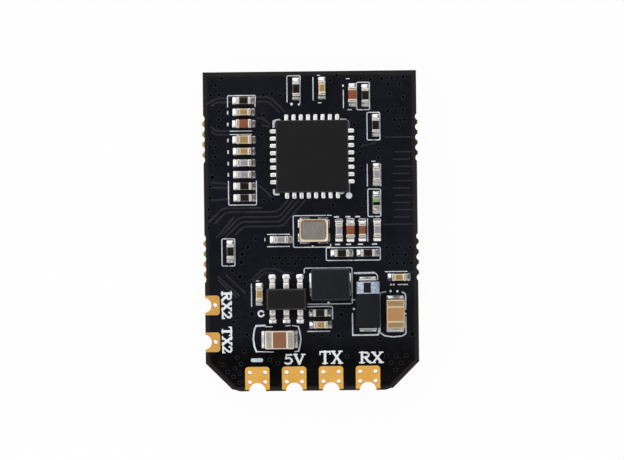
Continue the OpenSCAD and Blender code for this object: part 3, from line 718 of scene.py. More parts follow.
class MeshDraft:
    """Closed forms of one piece in the making. Points are in the row frame, in millimetres."""

    SINK = 0.004
    # Bands under a loft's last end that take the rim look, a painted edge highlight.
    HIGHLIGHT_BANDS = 3
    STRAP_ROUND = 0.35
    STRAP_STEPS = 3
    STRAP_TIP = ((1, 0), (0.5, 0.13), (0, 1))

    def __init__(self, name: str) -> None:
        """Starts an empty piece.

        Args:
            name: Name of the piece.
        """
        self.name = name
        self.points: list[Point] = []
        self.faces: list[tuple[int, ...]] = []
        self.looks: list[Look] = []

    def loop(self, points: Iterable[Point]) -> list[int]:
        """Adds points.

        Args:
            points: The points.

        Returns:
            Their numbers.
        """
        start = len(self.points)
        self.points.extend(points)
        return list(range(start, len(self.points)))

    def face(self, corners: Iterable[int], look: Look) -> None:
        """Adds one face with its look."""
        self.faces.append(tuple(corners))
        self.looks.append(look)

    def bridge(self, a: Sequence[int], b: Sequence[int], look: Look) -> None:
        """Joins two loops of points all the way round.

        Args:
            a: Numbers of the first loop's points.
            b: Numbers of the second loop's points, as many.
            look: Look of the band between them.
        """
        for i in range(len(a)):
            j = (i + 1) % len(a)
            self.face((a[i], a[j], b[j], b[i]), look)

    def loft(self, loops: Sequence[Iterable[Point]], look: Look, lid: Look | None = None,
             rim: Look | None = None) -> None:
        """Skins a run of loops and closes both ends.

        Args:
            loops: Outlines of the same number of points.
            look: Look of the form.
            lid: Look of the last end, where it differs.
            rim: Look of the bands next to the last end, where it differs: a painted edge highlight.
        """
        rings = [self.loop(points) for points in loops]
        highlight_from = len(rings) - 1 - self.HIGHLIGHT_BANDS
        for i, (a, b) in enumerate(zip(rings, rings[1:])):
            self.bridge(a, b, rim if rim and i >= highlight_from else look)
        self.face(reversed(rings[0]), look)
        self.face(rings[-1], lid or look)

    def tower(self, place: Placement, length: float, width: float, corner: float, profile: Sequence[Flat],
              look: Look, lid: Look | None = None, rim: Look | None = None) -> None:
        """Adds a block with round upright edges whose sides follow a profile.

        Args:
            place: Frame of the block.
            length: Size along u.
            width: Size along v.
            corner: Radius of the upright edges.
            profile: Insets with their heights.
            look: Look of the block.
            lid: Look of its top, where it differs.
            rim: Look of its upper edge, where it differs: a painted highlight.
        """
        self.loft([[place.point(u, v, w) for u, v in rounded_loop(length - 2 * inset, width - 2 * inset,
                                                                  corner - inset)]
                   for inset, w in profile], look, lid, rim)

    def spun(self, place: Placement, profile: Sequence[Flat], look: Look, lid: Look | None = None,
             steps: int = 20) -> None:
        """Adds a form turned about its own axis.

        Args:
            place: Frame of the axis.
            profile: Radii with their heights.
            look: Look of the form.
            lid: Look of its top, where it differs.
            steps: Facets round the axis.
        """
        self.loft([[place.point(u, v, w) for u, v in circle_loop(r, steps)] for r, w in profile], look, lid)

    def ribbon(self, place: Placement, path: Sequence[Flat], width: float, height: float, look: Look) -> None:
        """Adds a low flat stroke along a path.

        Args:
            place: Frame of the path.
            path: Points along the middle of the stroke.
            width: Width of the stroke.
            height: Height above the face.
            look: Look of the stroke.
        """
        self.loft([[place.point(*a, -self.SINK), place.point(*a, height), place.point(*b, height),
                    place.point(*b, -self.SINK)] for a, b in stroke_sections(path, width)], look)

    def strap(self, place: Placement, path: Sequence[Flat], width: float, thickness: float, look: Look) -> None:
        """Sweeps a rounded flat bar along a path in the upright plane through u, with a rounded tip.

        Args:
            place: Frame of the bar.
            path: Distances along u with heights, through the middle of the bar.
            width: Width of the bar across u.
            thickness: Thickness of the bar.
            look: Look of the bar.
        """
        radius = thickness * self.STRAP_ROUND
        end, way = Vector(path[-1]), (Vector(path[-1]) - Vector(path[-2])).normalized()
        stations = [(Vector(p), 0.0) for p in path[:-1]]
        stations += [(end - way * back * radius, inset * radius) for back, inset in self.STRAP_TIP]
        loops = []
        for i, (at, inset) in enumerate(stations):
            along = stations[min(i + 1, len(stations) - 1)][0] - stations[max(i - 1, 0)][0]
            out = Vector((-along.y, along.x)).normalized()
            section = rounded_loop(thickness - 2 * inset, width - 2 * inset, radius, self.STRAP_STEPS)
            loops.append([place.point(at.x + out.x * t, v, at.y + out.y * t) for t, v in section])
        self.loft(loops, look)

    def mound(self, rows: Sequence[Sequence[Point]], floor: float, look: Look) -> None:
        """Adds the closed form under a grid of points.

        Args:
            rows: The grid, row by row.
            floor: Height that its walls go down to.
            look: Look of the form.
        """
        grid = [self.loop(row) for row in rows]
        for a, b in zip(grid, grid[1:]):
            for i in range(len(a) - 1):
                self.face((a[i], a[i + 1], b[i + 1], b[i]), look)
        rim = (grid[0] + [row[-1] for row in grid[1:-1]] + grid[-1][::-1]
               + [row[0] for row in reversed(grid[1:-1])])
        foot = self.loop([(self.points[i][0], self.points[i][1], floor) for i in rim])
        self.bridge(rim, foot, look)
        self.face(foot, look)

    def make(self, slot: str | None, *nodes: str, crease: float = 38.0) -> None:
        """Turns the draft into a piece that rides on the board.

        Args:
            slot: Name of a material slot; not used.
            *nodes: Solids that the piece stands for.
            crease: Angle in degrees above which an edge stays sharp.
        """
        mesh = bpy.data.meshes.new(self.name)
        mesh.from_pydata([[c * MM for c in p] for p in self.points], [], self.faces)
        palette = list(dict.fromkeys(self.looks))
        for look in palette:
            mesh.materials.append(look.material())
        mesh.polygons.foreach_set("material_index", [palette.index(look) for look in self.looks])
        shape = bmesh.new()
        shape.from_mesh(mesh)
        bmesh.ops.recalc_face_normals(shape, faces=shape.faces)
        shape.to_mesh(mesh)
        shape.free()
        mesh.shade_smooth()
        mesh.set_sharp_from_angle(angle=math.radians(crease))
        piece = bpy.data.objects.new(self.name, mesh)
        bpy.context.scene.collection.objects.link(piece)
        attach(piece, BODY)
        if nodes:
            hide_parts(*nodes)
        LOG.info("%s: %d faces, stands for %s", self.name, len(mesh.polygons), ", ".join(nodes) or "no solid")


def dress(look: Look, *nodes: str) -> None:
    """Gives solids that stay as they are their finish.

    Args:
        look: The finish.
        *nodes: Names of the solids.
    """
    for node in nodes:
        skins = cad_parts[node].data.materials
        skins.clear()
        skins.append(look.material())
        LOG.info("%s: solid in %s", node, look.value.name)


# Board

@dataclass
class BoardFace:
    """Laminate with the copper that shows through its mask: traces and covered vias."""

    trace_w: float = 0.13
    trace_h: float = 0.007
    trace_bend: float = 0.3
    trace_lift: float = 0.0004
    thin_share: float = 0.7
    via_r: float = 0.15
    wide_via_r: float = 0.2
    via_rings: Sequence[Flat] = ((1.0, -0.004), (1.0, 0.001), (0.88, 0.004), (0.74, 0.004), (0.66, 0.0016))
    via_steps: int = 16
    vias: Sequence[Flat] = (
        (-6.03, 10.57), (-6.45, 10.09), (-6.82, 9.43), (-6.22, 9.45), (-3.17, 9.43), (-2.6, 9.45),
        (-2.03, 9.35), (-6.72, 8.62), (-6.22, 8.29), (-6.27, 7.74), (-6.28, 7.26), (-3.18, 8.0),
        (-3.5, 7.38), (-3.32, 6.69), (-6.83, 6.4), (-6.5, 5.85), (-6.53, 5.17), (-6.5, 4.58),
        (-3.22, 4.77), (-6.92, 3.12), (-6.93, 2.35), (-3.22, 2.1), (-2.6, 2.2), (-7.0, 1.55),
        (-7.02, 0.97), (-7.02, 0.27), (-3.83, -0.5), (-5.45, -2.68), (-4.6, -3.58), (1.42, 10.35),
        (1.88, 10.68), (3.53, 10.47), (4.22, 10.4), (4.98, 10.45), (5.68, 10.48), (6.45, 10.53),
        (5.42, 10.05), (6.2, 10.03), (5.55, 9.4), (6.45, 9.15), (5.68, 8.55), (6.45, 8.28),
        (5.37, 8.2), (3.95, 7.7), (5.82, 7.57), (6.52, 7.58), (6.12, 7.13), (4.97, 7.13),
        (4.72, 5.62), (3.42, 5.31), (4.69, 4.99), (3.48, 5.93), (3.53, 4.3), (3.05, 7.29), (1.53, 1.78),
        (3.68, 1.8), (3.4, 1.08), (5.2, -1.2), (6.03, -1.18), (6.82, -1.17), (5.62, -1.67),
        (6.5, -1.68), (-5.4, -6.2), (-5.02, -6.65), (-4.5, -7.08), (-4.7, -8.23), (-5.17, -8.66),
        (-4.92, -9.12), (-5.35, -9.41), (-5.85, -9.64), (-5.02, -9.77), (-5.46, -9.98), (-5.02, -10.38),
        (-6.2, -9.14), (-2.38, -9.08), (-2.93, -8.83), (2.22, -5.28), (0.13, -7.2), (0.67, -7.2),
        (1.22, -7.23), (4.7, -7.5), (2.38, -8.65), (5.1, -8.65), (5.77, -8.67), (6.47, -8.65),
        (5.42, -9.13), (6.1, -9.15), (5.72, -9.65))
    wide_vias: Sequence[Flat] = (
        (-6.76, 3.78), (-4.36, -1.08), (-4.75, -1.53), (-4.83, -2.1), (-4.93, -3.1), (-4.13, -5.67),
        (2.02, -5.78), (1.8, -7.23), (6.88, -7.18))
    via_rows: Sequence[tuple[float, Sequence[float]]] = (
        (-1.85, (-2.65, -2.22, -1.77, -1.32, -0.88, -0.2, 0.27)),
        (-2.25, (-2.5, -2.05, -1.6, -1.13)),
        (-2.28, (5.4, 5.9, 6.4, 6.9)))
    traces: Sequence[Sequence[Flat]] = (
        ((-7.1, 8.82), (-6.9, 8.92), (-6.4, 9.2), (-2.75, 9.27), (-1.7, 8.2)),
        ((-6.74, 8.68), (-6.43, 8.93), (-2.85, 8.95), (-2.1, 8.2)),
        ((-6.8, 7.22), (-6.45, 6.95), (-5.52, 6.94)), ((-6.75, 6.9), (-6.5, 6.7), (-5.52, 6.7)),
        ((-3.7, 7.86), (-3.2, 7.76), (-2.78, 7.42)), ((-3.24, 7.32), (-2.8, 7.22)),
        ((-1.6, 2.1), (-2.3, 1.35), (-5.85, 1.35), (-6.6, 0.6)),
        ((-1.25, 2.1), (-2.15, 1.0), (-4.9, 1.0), (-6.1, -0.2)),
        ((-0.85, 2.1), (-2.1, 0.67), (-4.85, 0.67), (-6.05, -0.53)),
        ((-0.4, 2.1), (-1.95, 0.35), (-4.65, 0.35), (-5.2, -0.2)),
        ((-3.4, 1.64), (-6.05, 1.64), (-7.0, 0.7)), ((-5.3, 1.0), (-6.5, -0.4)),
        ((-6.85, 3.06), (-5.72, 3.03)), ((-6.9, 3.42), (-5.72, 3.3)),
        ((-6.85, 2.17), (-6.5, 2.22), (-5.72, 2.24)),
        ((-3.65, 3.2), (-3.2, 2.9), (-2.75, 2.42)), ((3.5, 5.82), (3.95, 5.9), (4.45, 6.02)),
        ((-6.4, -3.35), (-5.2, -4.5)), ((-6.43, -3.08), (-5.0, -4.4)), ((-5.86, -2.98), (-4.6, -4.2)),
        ((-4.1, -3.3), (-3.35, -2.58), (-2.4, -2.58), (-1.9, -2.85), (-1.3, -2.92)),
        ((-3.95, -3.42), (-3.25, -2.84), (-2.65, -2.84)), ((6.75, -2.95), (7.3, -2.86)))
    thin_traces: Sequence[Sequence[Flat]] = (((5.19, 6.4), (7.12, 6.4)), ((5.02, 0.4), (6.97, 0.4)))
    back_traces: Sequence[Sequence[Flat]] = (
        ((-1.1, 4.85), (-0.62, 4.85)), ((0.62, 4.85), (1.1, 4.85)),
        ((-2.25, 1.75), (-2.25, 0.4), (-0.88, -0.97), (-0.88, -1.7)),
        ((-2.75, 1.75), (-2.6, 1.5), (-2.6, 0.25), (-1.32, -1.03), (-1.32, -1.7)),
        ((2.25, 1.75), (2.25, 0.4), (0.27, -1.58), (0.27, -1.7)),
        ((2.75, 1.75), (2.6, 1.5), (2.6, 0.4), (0.7, -1.5), (0.7, -3.0)),
        ((1.27, -9.2), (1.27, -8.4), (2.4, -7.3), (2.4, -3.2)),
        ((3.81, -9.2), (3.81, -8.2), (2.75, -7.1), (2.75, -2.9)),
        ((-6.2, -7.59), (-5.4, -7.59), (-4.75, -6.94), (-4.75, -4.05), (-2.62, -1.92)),
        ((-6.2, -5.05), (-5.75, -5.05), (-5.3, -4.6), (-5.3, -2.95), (-3.0, -0.65)))
    feed_traces: Sequence[Sequence[Flat]] = (
        ((-5.2, 7.5), (-5.2, 7.2), (-4.75, 6.75), (-4.75, 6.4)),
        ((5.2, 7.5), (5.2, 7.2), (4.75, 6.75), (4.75, 6.4)),
        ((-1.27, -9.2), (-1.27, -7.7)), ((-1.5, -6.9), (-3.2, -6.9), (-3.6, -6.5), (-3.6, -3.4)))
    feed_w: float = 0.3
    comb_first: float = 5.38
    comb_pitch: float = 0.498
    comb_rows: int = 10
    comb_ends: Flat = (5.7, 6.83)
    comb_shift: float = 0.16

    def build(self) -> None:
        """Dresses the laminate and lays the traces and vias on it."""
        dress(Look.MASK, "circuit_board")
        self.lay_front_traces()
        self.lay_back_traces()
        for side in Side:
            self.lay_vias(side)

    def lay_back_traces(self) -> None:
        """Builds the traces of the back, with wider feeds for the antennas and the supply."""
        face = face_of(Side.BACK)
        draft = MeshDraft("masked_traces_back")
        for width, paths in ((self.trace_w, self.back_traces), (self.feed_w, self.feed_traces)):
            for path in paths:
                draft.ribbon(face, softened(path, self.trace_bend), width, self.trace_h, Look.TRACE)
        draft.make("solder_mask")

    def lay_front_traces(self) -> None:
        """Builds the traces of the component side that stand out under the mask."""
        face = face_of(Side.FRONT)
        draft = MeshDraft("masked_traces_front")
        for i, path in enumerate(self.traces):
            draft.ribbon(face, softened(path, self.trace_bend), self.trace_w,
                         self.trace_h + self.trace_lift * i, Look.TRACE)
        first, last = self.comb_ends
        comb = []
        for i in range(self.comb_rows):
            y = self.comb_first - i * self.comb_pitch
            shift = 0.0 if i % 2 else self.comb_shift
            comb.append(((first + shift, y), (last + shift, y)))
        for path in (*self.thin_traces, *comb):
            draft.ribbon(face, path, self.trace_w * self.thin_share, self.trace_h, Look.TRACE)
        draft.make("solder_mask")

    def lay_vias(self, side: Side) -> None:
        """Builds the covered vias of one face, leaving out those under parts.

        Args:
            side: The face.
        """
        face = face_of(side)
        draft = MeshDraft(f"covered_vias_{side.name.lower()}")
        spots = [(x, y, self.via_r) for x, y in self.vias]
        spots += [(x, y, self.via_r) for y, row in self.via_rows for x in row]
        spots += [(x, y, self.wide_via_r) for x, y in self.wide_vias]
        for x, y, r in spots:
            if not under_part(x, y, side):
                # Each via is a ring whose dark centre is partly painted shade of its pit.
                draft.spun(face.moved(x, y), [(r * share, w) for share, w in self.via_rings], Look.VIA_RIM,
                           Look.VIA_EYE, self.via_steps)
        draft.make("solder_mask")


LEVEL_NODES = ("circuit_board", "contact_", "solder_", "transceiver_leads")


def under_part(x: float, y: float, side: Side, margin: float = 0.22) -> bool:
    """Tells whether a part covers a point of a face.

    Args:
        x: Place across the board.
        y: Place along the board.
        side: The face.
        margin: Free distance that the point needs.

    Returns:
        Whether the point is too near a part.
    """
    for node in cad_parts:
        if node.startswith(LEVEL_NODES):
            continue
        low, high = solid_box(node)
        front = (low.z + high.z) / 2 > board_middle()
        if front == (side is Side.FRONT) and (low.x - margin < x < high.x + margin
                                              and low.y - margin < y < high.y + margin):
            return True
    return False


@dataclass
class EdgeContacts:
    """Gilded half-hole contacts on the lower and left edges."""

    lower: Sequence[str] = ("contact_ground", "contact_power", "contact_tx", "contact_rx")
    left: Sequence[str] = ("contact_tx2", "contact_rx2")

    def build(self) -> None:
        """Dresses the contacts, the left ones in a darker gold."""
        dress(Look.GOLD, *self.lower)
        dress(Look.DARKER_GOLD, *self.left)


# Legend

@dataclass(frozen=True)
class Glyph:
    """A printed character: its width and its strokes, for a height of one."""

    width: float
    strokes: Sequence[tuple[float, Sequence[Flat]]]


THICK, PLAIN, THIN = 0.225, 0.16, 0.115

GLYPHS: dict[str, Glyph] = {
    "R": Glyph(0.8, ((THICK, ((0.2, 0.04), (0.2, 0.96))),
                     (PLAIN, ((0.2, 0.95), (0.46, 0.95), (0.64, 0.86), (0.66, 0.74), (0.62, 0.6), (0.46, 0.52),
                              (0.2, 0.52))),
                     (THICK, ((0.42, 0.52), (0.62, 0.16), (0.76, 0.05))),
                     (THIN, ((0.04, 0.04), (0.36, 0.04))), (THIN, ((0.04, 0.96), (0.2, 0.96))))),
    "X": Glyph(0.82, ((THICK, ((0.14, 0.94), (0.7, 0.06))), (PLAIN, ((0.68, 0.94), (0.16, 0.06))),
                      (THIN, ((0.04, 0.96), (0.3, 0.96))), (THIN, ((0.56, 0.96), (0.8, 0.96))),
                      (THIN, ((0.04, 0.04), (0.28, 0.04))), (THIN, ((0.54, 0.04), (0.82, 0.04))))),
    "T": Glyph(0.8, ((THICK, ((0.4, 0.04), (0.4, 0.94))), (PLAIN, ((0.06, 0.93), (0.74, 0.93))),
                     (THIN, ((0.06, 0.93), (0.05, 0.72))), (THIN, ((0.74, 0.93), (0.76, 0.74))),
                     (THIN, ((0.24, 0.04), (0.56, 0.04))))),
    "2": Glyph(0.64, ((PLAIN, ((0.1, 0.72), (0.14, 0.88), (0.32, 0.95), (0.5, 0.88), (0.54, 0.72), (0.44, 0.52),
                               (0.1, 0.08))),
                      (PLAIN, ((0.08, 0.08), (0.58, 0.08))), (THIN, ((0.56, 0.08), (0.6, 0.26))))),
    "5": Glyph(0.64, ((PLAIN, ((0.16, 0.92), (0.52, 0.92))), (THIN, ((0.16, 0.92), (0.12, 0.56))),
                      (PLAIN, ((0.12, 0.56), (0.28, 0.63), (0.46, 0.57), (0.55, 0.38), (0.5, 0.17),
                               (0.34, 0.06), (0.18, 0.06), (0.08, 0.14))))),
    "V": Glyph(0.8, ((THICK, ((0.13, 0.94), (0.42, 0.06))), (PLAIN, ((0.7, 0.94), (0.44, 0.06))),
                     (THIN, ((0.02, 0.95), (0.28, 0.95))), (THIN, ((0.58, 0.95), (0.82, 0.95))))),
}


@dataclass(frozen=True)
class Label:
    """Generic function mark beside a contact: its lower left corner, size, turn and weight of line."""

    text: str
    x: float
    y: float
    length: float
    height: float
    turn: float = 0.0
    weight: float = 1.0


@dataclass
class Legend:
    """Printed legend: outlines of the parts on both sides, and marks of the contacts on the component side."""

    line_w: float = 0.062
    ink_h: float = 0.012
    ink_lift: float = 0.00005
    corner: float = 0.1
    letter_bend: float = 0.12
    mark_w: float = 0.1
    column_x: float = -5.65
    column_mark: float = 0.08
    row_mark: float = 0.13
    frame_lap: float = 0.02
    dot_rise: float = 0.006
    dot_top: float = 0.8
    labels: Sequence[Label] = (
        Label("5V", -1.95, -9.17, 1.42, 0.71, weight=1.1), Label("TX", 0.47, -9.16, 1.6, 0.89, weight=0.86),
        Label("RX", 3.2, -9.14, 1.68, 0.77, weight=0.93), Label("RX2", -6.2, -4.08, 1.92, 0.67, -90.0, 1.14),
        Label("TX2", -6.2, -6.53, 1.82, 0.67, -90.0, 1.12))
    bold_lines: Sequence[tuple[float, Sequence[Flat]]] = (
        (0.26, ((-4.12, -8.86), (-3.53, -8.86))),
        (0.16, ((-2.5, 7.2), (-2.5, 7.5), (-2.42, 7.62), (-2.1, 7.66))),
        (0.14, ((-2.52, 2.85), (-2.52, 2.6), (-2.44, 2.54), (-2.2, 2.54))),
        (0.07, ((2.12, 7.68), (2.5, 7.67))), (0.03, ((2.5, 7.66), (2.7, 7.54), (2.7, 7.05))),
        (0.03, ((2.69, 3.3), (2.69, 2.6))),
        (0.12, ((2.06, 2.55), (2.26, 2.61))),
        (0.08, ((2.79, -5.71), (2.79, -7.15))), (0.1, ((2.79, -7.21), (4.56, -7.21), (4.62, -6.66))),
        (0.09, ((6.46, -5.98), (6.46, -7.15), (6.2, -7.3), (5.6, -7.36), (5.0, -7.28), (4.72, -7.08))),
        (0.085, ((6.24, -4.28), (6.46, -4.42), (6.46, -5.48))), (0.13, ((3.0, -2.94), (4.3, -2.93))),
        (0.13, ((-3.84, -6.5), (-3.25, -6.48))),
        (0.11, ((-3.85, -8.27), (-3.98, -7.95), (-4.06, -7.38), (-3.98, -6.75), (-3.84, -6.47))),
        (0.09, ((-0.96, -6.56), (-0.86, -6.9), (-0.78, -7.4), (-0.86, -7.95), (-0.95, -8.27))))
    dots: Sequence[tuple[float, Flat]] = (
        (0.22, (2.64, 2.41)), (0.09, (-1.25, 8.75)), (0.07, (-0.74, 8.72)), (0.07, (2.32, 9.98)),
        (0.06, (0.1, -1.05)), (0.08, (1.15, -4.95)), (0.08, (2.9, -5.4)), (0.06, (5.47, -3.76)),
        (0.06, (5.65, -3.76)), (0.08, (5.43, -4.2)), (0.08, (5.9, -4.22)), (0.08, (6.43, -5.78)))
    column_marks: Sequence[float] = (8.2, 7.4, 6.3, 5.5, 4.7, 3.93)
    row_marks: Sequence[tuple[float, Sequence[float]]] = (
        (0.95, (1.76, 2.55, 3.22)), (-0.95, (1.82, 2.58, 3.39, 4.37)))
    frames: Sequence[tuple[Flat, Flat]] = (
        ((3.24, 8.31), (4.13, 10.2)), ((3.94, 6.22), (4.82, 8.12)), ((3.94, 0.95), (4.82, 2.84)),
        ((1.03, -2.05), (4.75, -1.17)), ((-6.15, -2.35), (-5.26, -0.48)))
    lines: Sequence[Sequence[Flat]] = (
        ((-5.65, 8.59), (-5.65, 9.38), (-3.73, 9.38), (-3.76, 8.62)),
        ((-5.49, 6.93), (-4.02, 6.93)), ((-5.49, 6.7), (-4.02, 6.7)),
        ((-5.65, 3.48), (-5.65, 1.84), (-3.73, 1.84), (-3.73, 3.48)),
        ((-1.55, 8.9), (-1.55, 10.7), (-0.63, 10.7), (-0.66, 8.78)),
        ((0.25, 10.56), (0.25, 9.01)), ((0.55, 10.71), (0.72, 10.71)), ((0.6, 8.82), (0.78, 8.82)),
        ((2.33, 9.67), (2.33, 8.46)), ((2.55, 10.46), (2.75, 10.46)), ((2.63, 8.32), (2.88, 8.32)),
        ((3.92, 4.55), (3.92, 3.05)), ((4.84, 4.55), (4.84, 3.05)), ((4.24, 4.75), (4.46, 4.75)),
        ((3.9, 0.8), (3.9, -0.75)),
        ((1.0, 1.06), (-1.22, 1.06), (-1.22, -1.12), (1.35, -1.12), (1.34, -0.92)), ((1.12, 1.06), (1.4, 1.06)),
        ((-3.0, -0.21), (-1.48, -0.21)), ((-3.0, -1.05), (-1.48, -1.05)), ((-3.18, -0.48), (-3.18, -0.66)),
        ((-4.15, -3.62), (-4.15, -5.16)), ((-3.84, -3.4), (-3.64, -3.4)),
        ((-0.5, -2.9), (-0.5, -2.56), (2.79, -2.56), (2.79, -5.0)), ((-0.27, -5.04), (2.7, -5.04)),
        ((2.72, -4.78), (2.98, -4.78)),
        ((2.92, -2.92), (4.37, -2.92), (4.55, -3.1), (4.55, -3.4)),
        ((5.08, -2.86), (6.58, -2.86)), ((5.95, -3.76), (6.6, -3.76)),
        ((4.68, -7.0), (4.68, -4.45), (4.8, -4.28), (5.1, -4.25)),
        ((-2.7, -8.31), (-3.85, -8.27)), ((-1.35, -6.5), (-0.96, -6.56)), ((-0.95, -8.27), (-1.2, -8.3)),
        ((-3.2, -6.56), (-2.75, -6.56)), ((-1.8, -6.52), (-1.5, -6.5)),
        ((-0.3, -5.21), (1.42, -5.21), (1.42, -6.08)), ((-0.3, -6.92), (1.21, -6.92)))
    back_lines: Sequence[Sequence[Flat]] = (
        ((-4.3, 0.24), (-2.7, 0.24)), ((-4.3, 1.16), (-2.7, 1.16)), ((2.7, 0.24), (4.3, 0.24)),
        ((2.7, 1.16), (4.3, 1.16)), ((-1.3, -7.8), (1.3, -7.8)), ((-1.3, -6.0), (1.3, -6.0)),
        ((-0.7, 5.35), (0.7, 5.35)), ((-0.7, 2.85), (0.7, 2.85)))
    back_chips: Sequence[Flat] = ((-3.5, 4.1), (3.5, 4.1))
    chip_half: float = 2.2
    chip_leg: float = 0.35
    chip_dot: Flat = (0.12, 0.1)
    chip_dot_gap: float = 0.25
    ring_at: Flat = (-3.5, -5.66)
    ring_r: float = 0.19
    ring_w: float = 0.12
    ring_from: float = 40.0
    ring_sweep: float = 300.0
    ring_steps: int = 16

    def build(self) -> None:
        """Prints the legend of each side as one piece of ink."""
        self.print_back()
        face = face_of(Side.FRONT)
        draft = MeshDraft("printed_legend")
        strokes = [(self.line_w, softened(path, self.corner)) for path in self.lines]
        strokes += [(self.line_w, self.frame_path(low, high)) for low, high in self.frames]
        strokes += [(width, softened(path, self.corner)) for width, path in self.bold_lines]
        strokes += [(self.mark_w, [(self.column_x, y + way * self.column_mark) for way in (-1, 1)])
                    for y in self.column_marks]
        strokes += [(self.mark_w, [(x + way * self.row_mark, y) for way in (-1, 1)])
                    for y, row in self.row_marks for x in row]
        strokes.append((self.ring_w, self.ring_path()))
        inked = [(Look.INK, stroke) for stroke in strokes]
        inked += [(Look.FULL_INK, stroke) for label in self.labels for stroke in self.label_strokes(label)]
        for i, (look, (width, path)) in enumerate(inked):
            draft.ribbon(face, path, width, self.ink_h + self.ink_lift * i, look)
        for r, (x, y) in self.dots:
            self.add_dot(draft, face.moved(x, y), r, r * self.dot_top, Look.FULL_INK)
        draft.make(None)

    def add_dot(self, draft: MeshDraft, place: Placement, radius: float, top: float, look: Look) -> None:
        """Prints one dot.

        Args:
            draft: Piece of ink that the dot goes into.
            place: Frame of its middle.
            radius: Radius of the dot.
            top: Radius of its top.
            look: Look of the ink.
        """
        profile = ((radius, -MeshDraft.SINK), (radius, self.ink_h), (top, self.ink_h + self.dot_rise))
        draft.spun(place, profile, look)

    def print_back(self) -> None:
        """Prints the outlines on the back, with corners and a dot at each radio chip."""
        face = face_of(Side.BACK)
        draft = MeshDraft("printed_legend_back")
        paths = list(self.back_lines)
        half, leg = self.chip_half, self.chip_leg
        for x, y in self.back_chips:
            paths += [((x + su * half, y + sv * (half - leg)), (x + su * half, y + sv * half),
                       (x + su * (half - leg), y + sv * half)) for su in (-1, 1) for sv in (-1, 1)]
            self.add_dot(draft, face.moved(x - half - self.chip_dot_gap, y + half), *self.chip_dot, Look.INK)
        for path in paths:
            draft.ribbon(face, softened(path, self.corner), self.line_w, self.ink_h, Look.INK)
        draft.make(None)

    def frame_path(self, low: Flat, high: Flat) -> list[Flat]:
        """Path round a rectangle with small round corners, back to its start.

        Args:
            low: Lower left corner.
            high: Upper right corner.

        Returns:
            The path.
        """
        middle = ((low[0] + high[0]) / 2, low[1])
        end = (middle[0] + self.frame_lap, low[1])
        corners = (middle, (high[0], low[1]), high, (low[0], high[1]), low, end)
        return softened(corners, self.corner)

    def ring_path(self) -> list[Flat]:
        """Path of the open ring that marks the regulator's first lead.

        Returns:
            The path.
        """
        x, y = self.ring_at
        turns = [math.radians(self.ring_from + self.ring_sweep * i / self.ring_steps)
                 for i in range(self.ring_steps + 1)]
        return [(x + self.ring_r * math.cos(a), y + self.ring_r * math.sin(a)) for a in turns]

    def label_strokes(self, label: Label) -> Iterator[tuple[float, list[Flat]]]:
        """Lays out the strokes of one label.

        Args:
            label: The label.

        Yields:
            The width and the path of each stroke.
        """
        base = Placement(label.x, label.y, label.turn, 0.0, Side.FRONT)
        stretch = label.length / sum(GLYPHS[c].width for c in label.text)
        start = 0.0
        for character in label.text:
            glyph = GLYPHS[character]
            for width, path in glyph.strokes:
                points = softened([(start + u * stretch, v * label.height) for u, v in path], self.letter_bend)
                yield width * label.height * label.weight, [base.point(*p)[:2] for p in points]
            start += glyph.width * stretch


# Parts

END_FOOT_SHARE = 0.6
PARTING_HALF = 0.02
MOULD_CORNER = 0.05


def numbered(stem: str, numbers: Iterable[int]) -> tuple[str, ...]:
    """Gives names of solids that differ by their number alone.

    Args:
        stem: What the names share.
        numbers: The numbers.

    Returns:
        The names.
    """
    return tuple(f"{stem}_{i}" for i in numbers)


SMALL_CAPACITORS = numbered("capacitor", range(1, 18))
RESISTORS = numbered("resistor", range(1, 11))


def add_chip_ends(draft: MeshDraft, seat: Seat, end: float, edge: float, metal: Look = Look.TIN,
                  rim: Look = Look.TIN_EDGE) -> None:
    """Adds the two metal ends of a chip part.

    Args:
        draft: Piece that the ends go into.
        seat: Seat of the chip.
        end: Length of an end.
        edge: Radius of its edges.
        metal: Look of the ends.
        rim: Look of their upper edges, a painted highlight.
    """
    profile = rounded_profile(seat.height, edge * END_FOOT_SHARE, edge)
    for way in (-1, 1):
        draft.tower(seat.place.moved(way * (seat.length - end) / 2), end, seat.width, edge, profile, metal,
                    rim=rim)


def drafted_profile(height: float, slope: float, edge: float, top: Sequence[Flat]) -> list[Flat]:
    """Side view of a moulded case that is widest at its parting line.

    Args:
        height: Height of the case.
        slope: How far its foot draws in.
        edge: Bevel round its foot.
        top: Insets of its upper edge with their depths below the top.

    Returns:
        Insets with their heights, from the bottom up.
    """
    middle = height / 2
    lower = [(slope + edge, 0.0), (slope, edge), (0.0, middle - PARTING_HALF), (0.0, middle + PARTING_HALF)]
    return lower + [(inset, height - depth) for inset, depth in top]


@dataclass(frozen=True)
class FoldedStrap:
    """Metal terminal folded from under a part up its end wall."""

    thickness: float
    width: float
    height: float
    foot: float
    bend: float

    def add_pair(self, draft: MeshDraft, seat: Seat) -> None:
        """Adds the terminals of both ends of a part.

        Args:
            draft: Piece that the terminals go into.
            seat: Seat of the part.
        """
        half = self.thickness / 2
        far = seat.length / 2 - half
        path = softened(((far - self.foot, half), (far, half), (far, self.height)), self.bend)
        for turn in (0.0, 180.0):
            draft.strap(seat.place.moved(0.0, turn=turn), path, self.width, self.thickness, Look.LEAD)


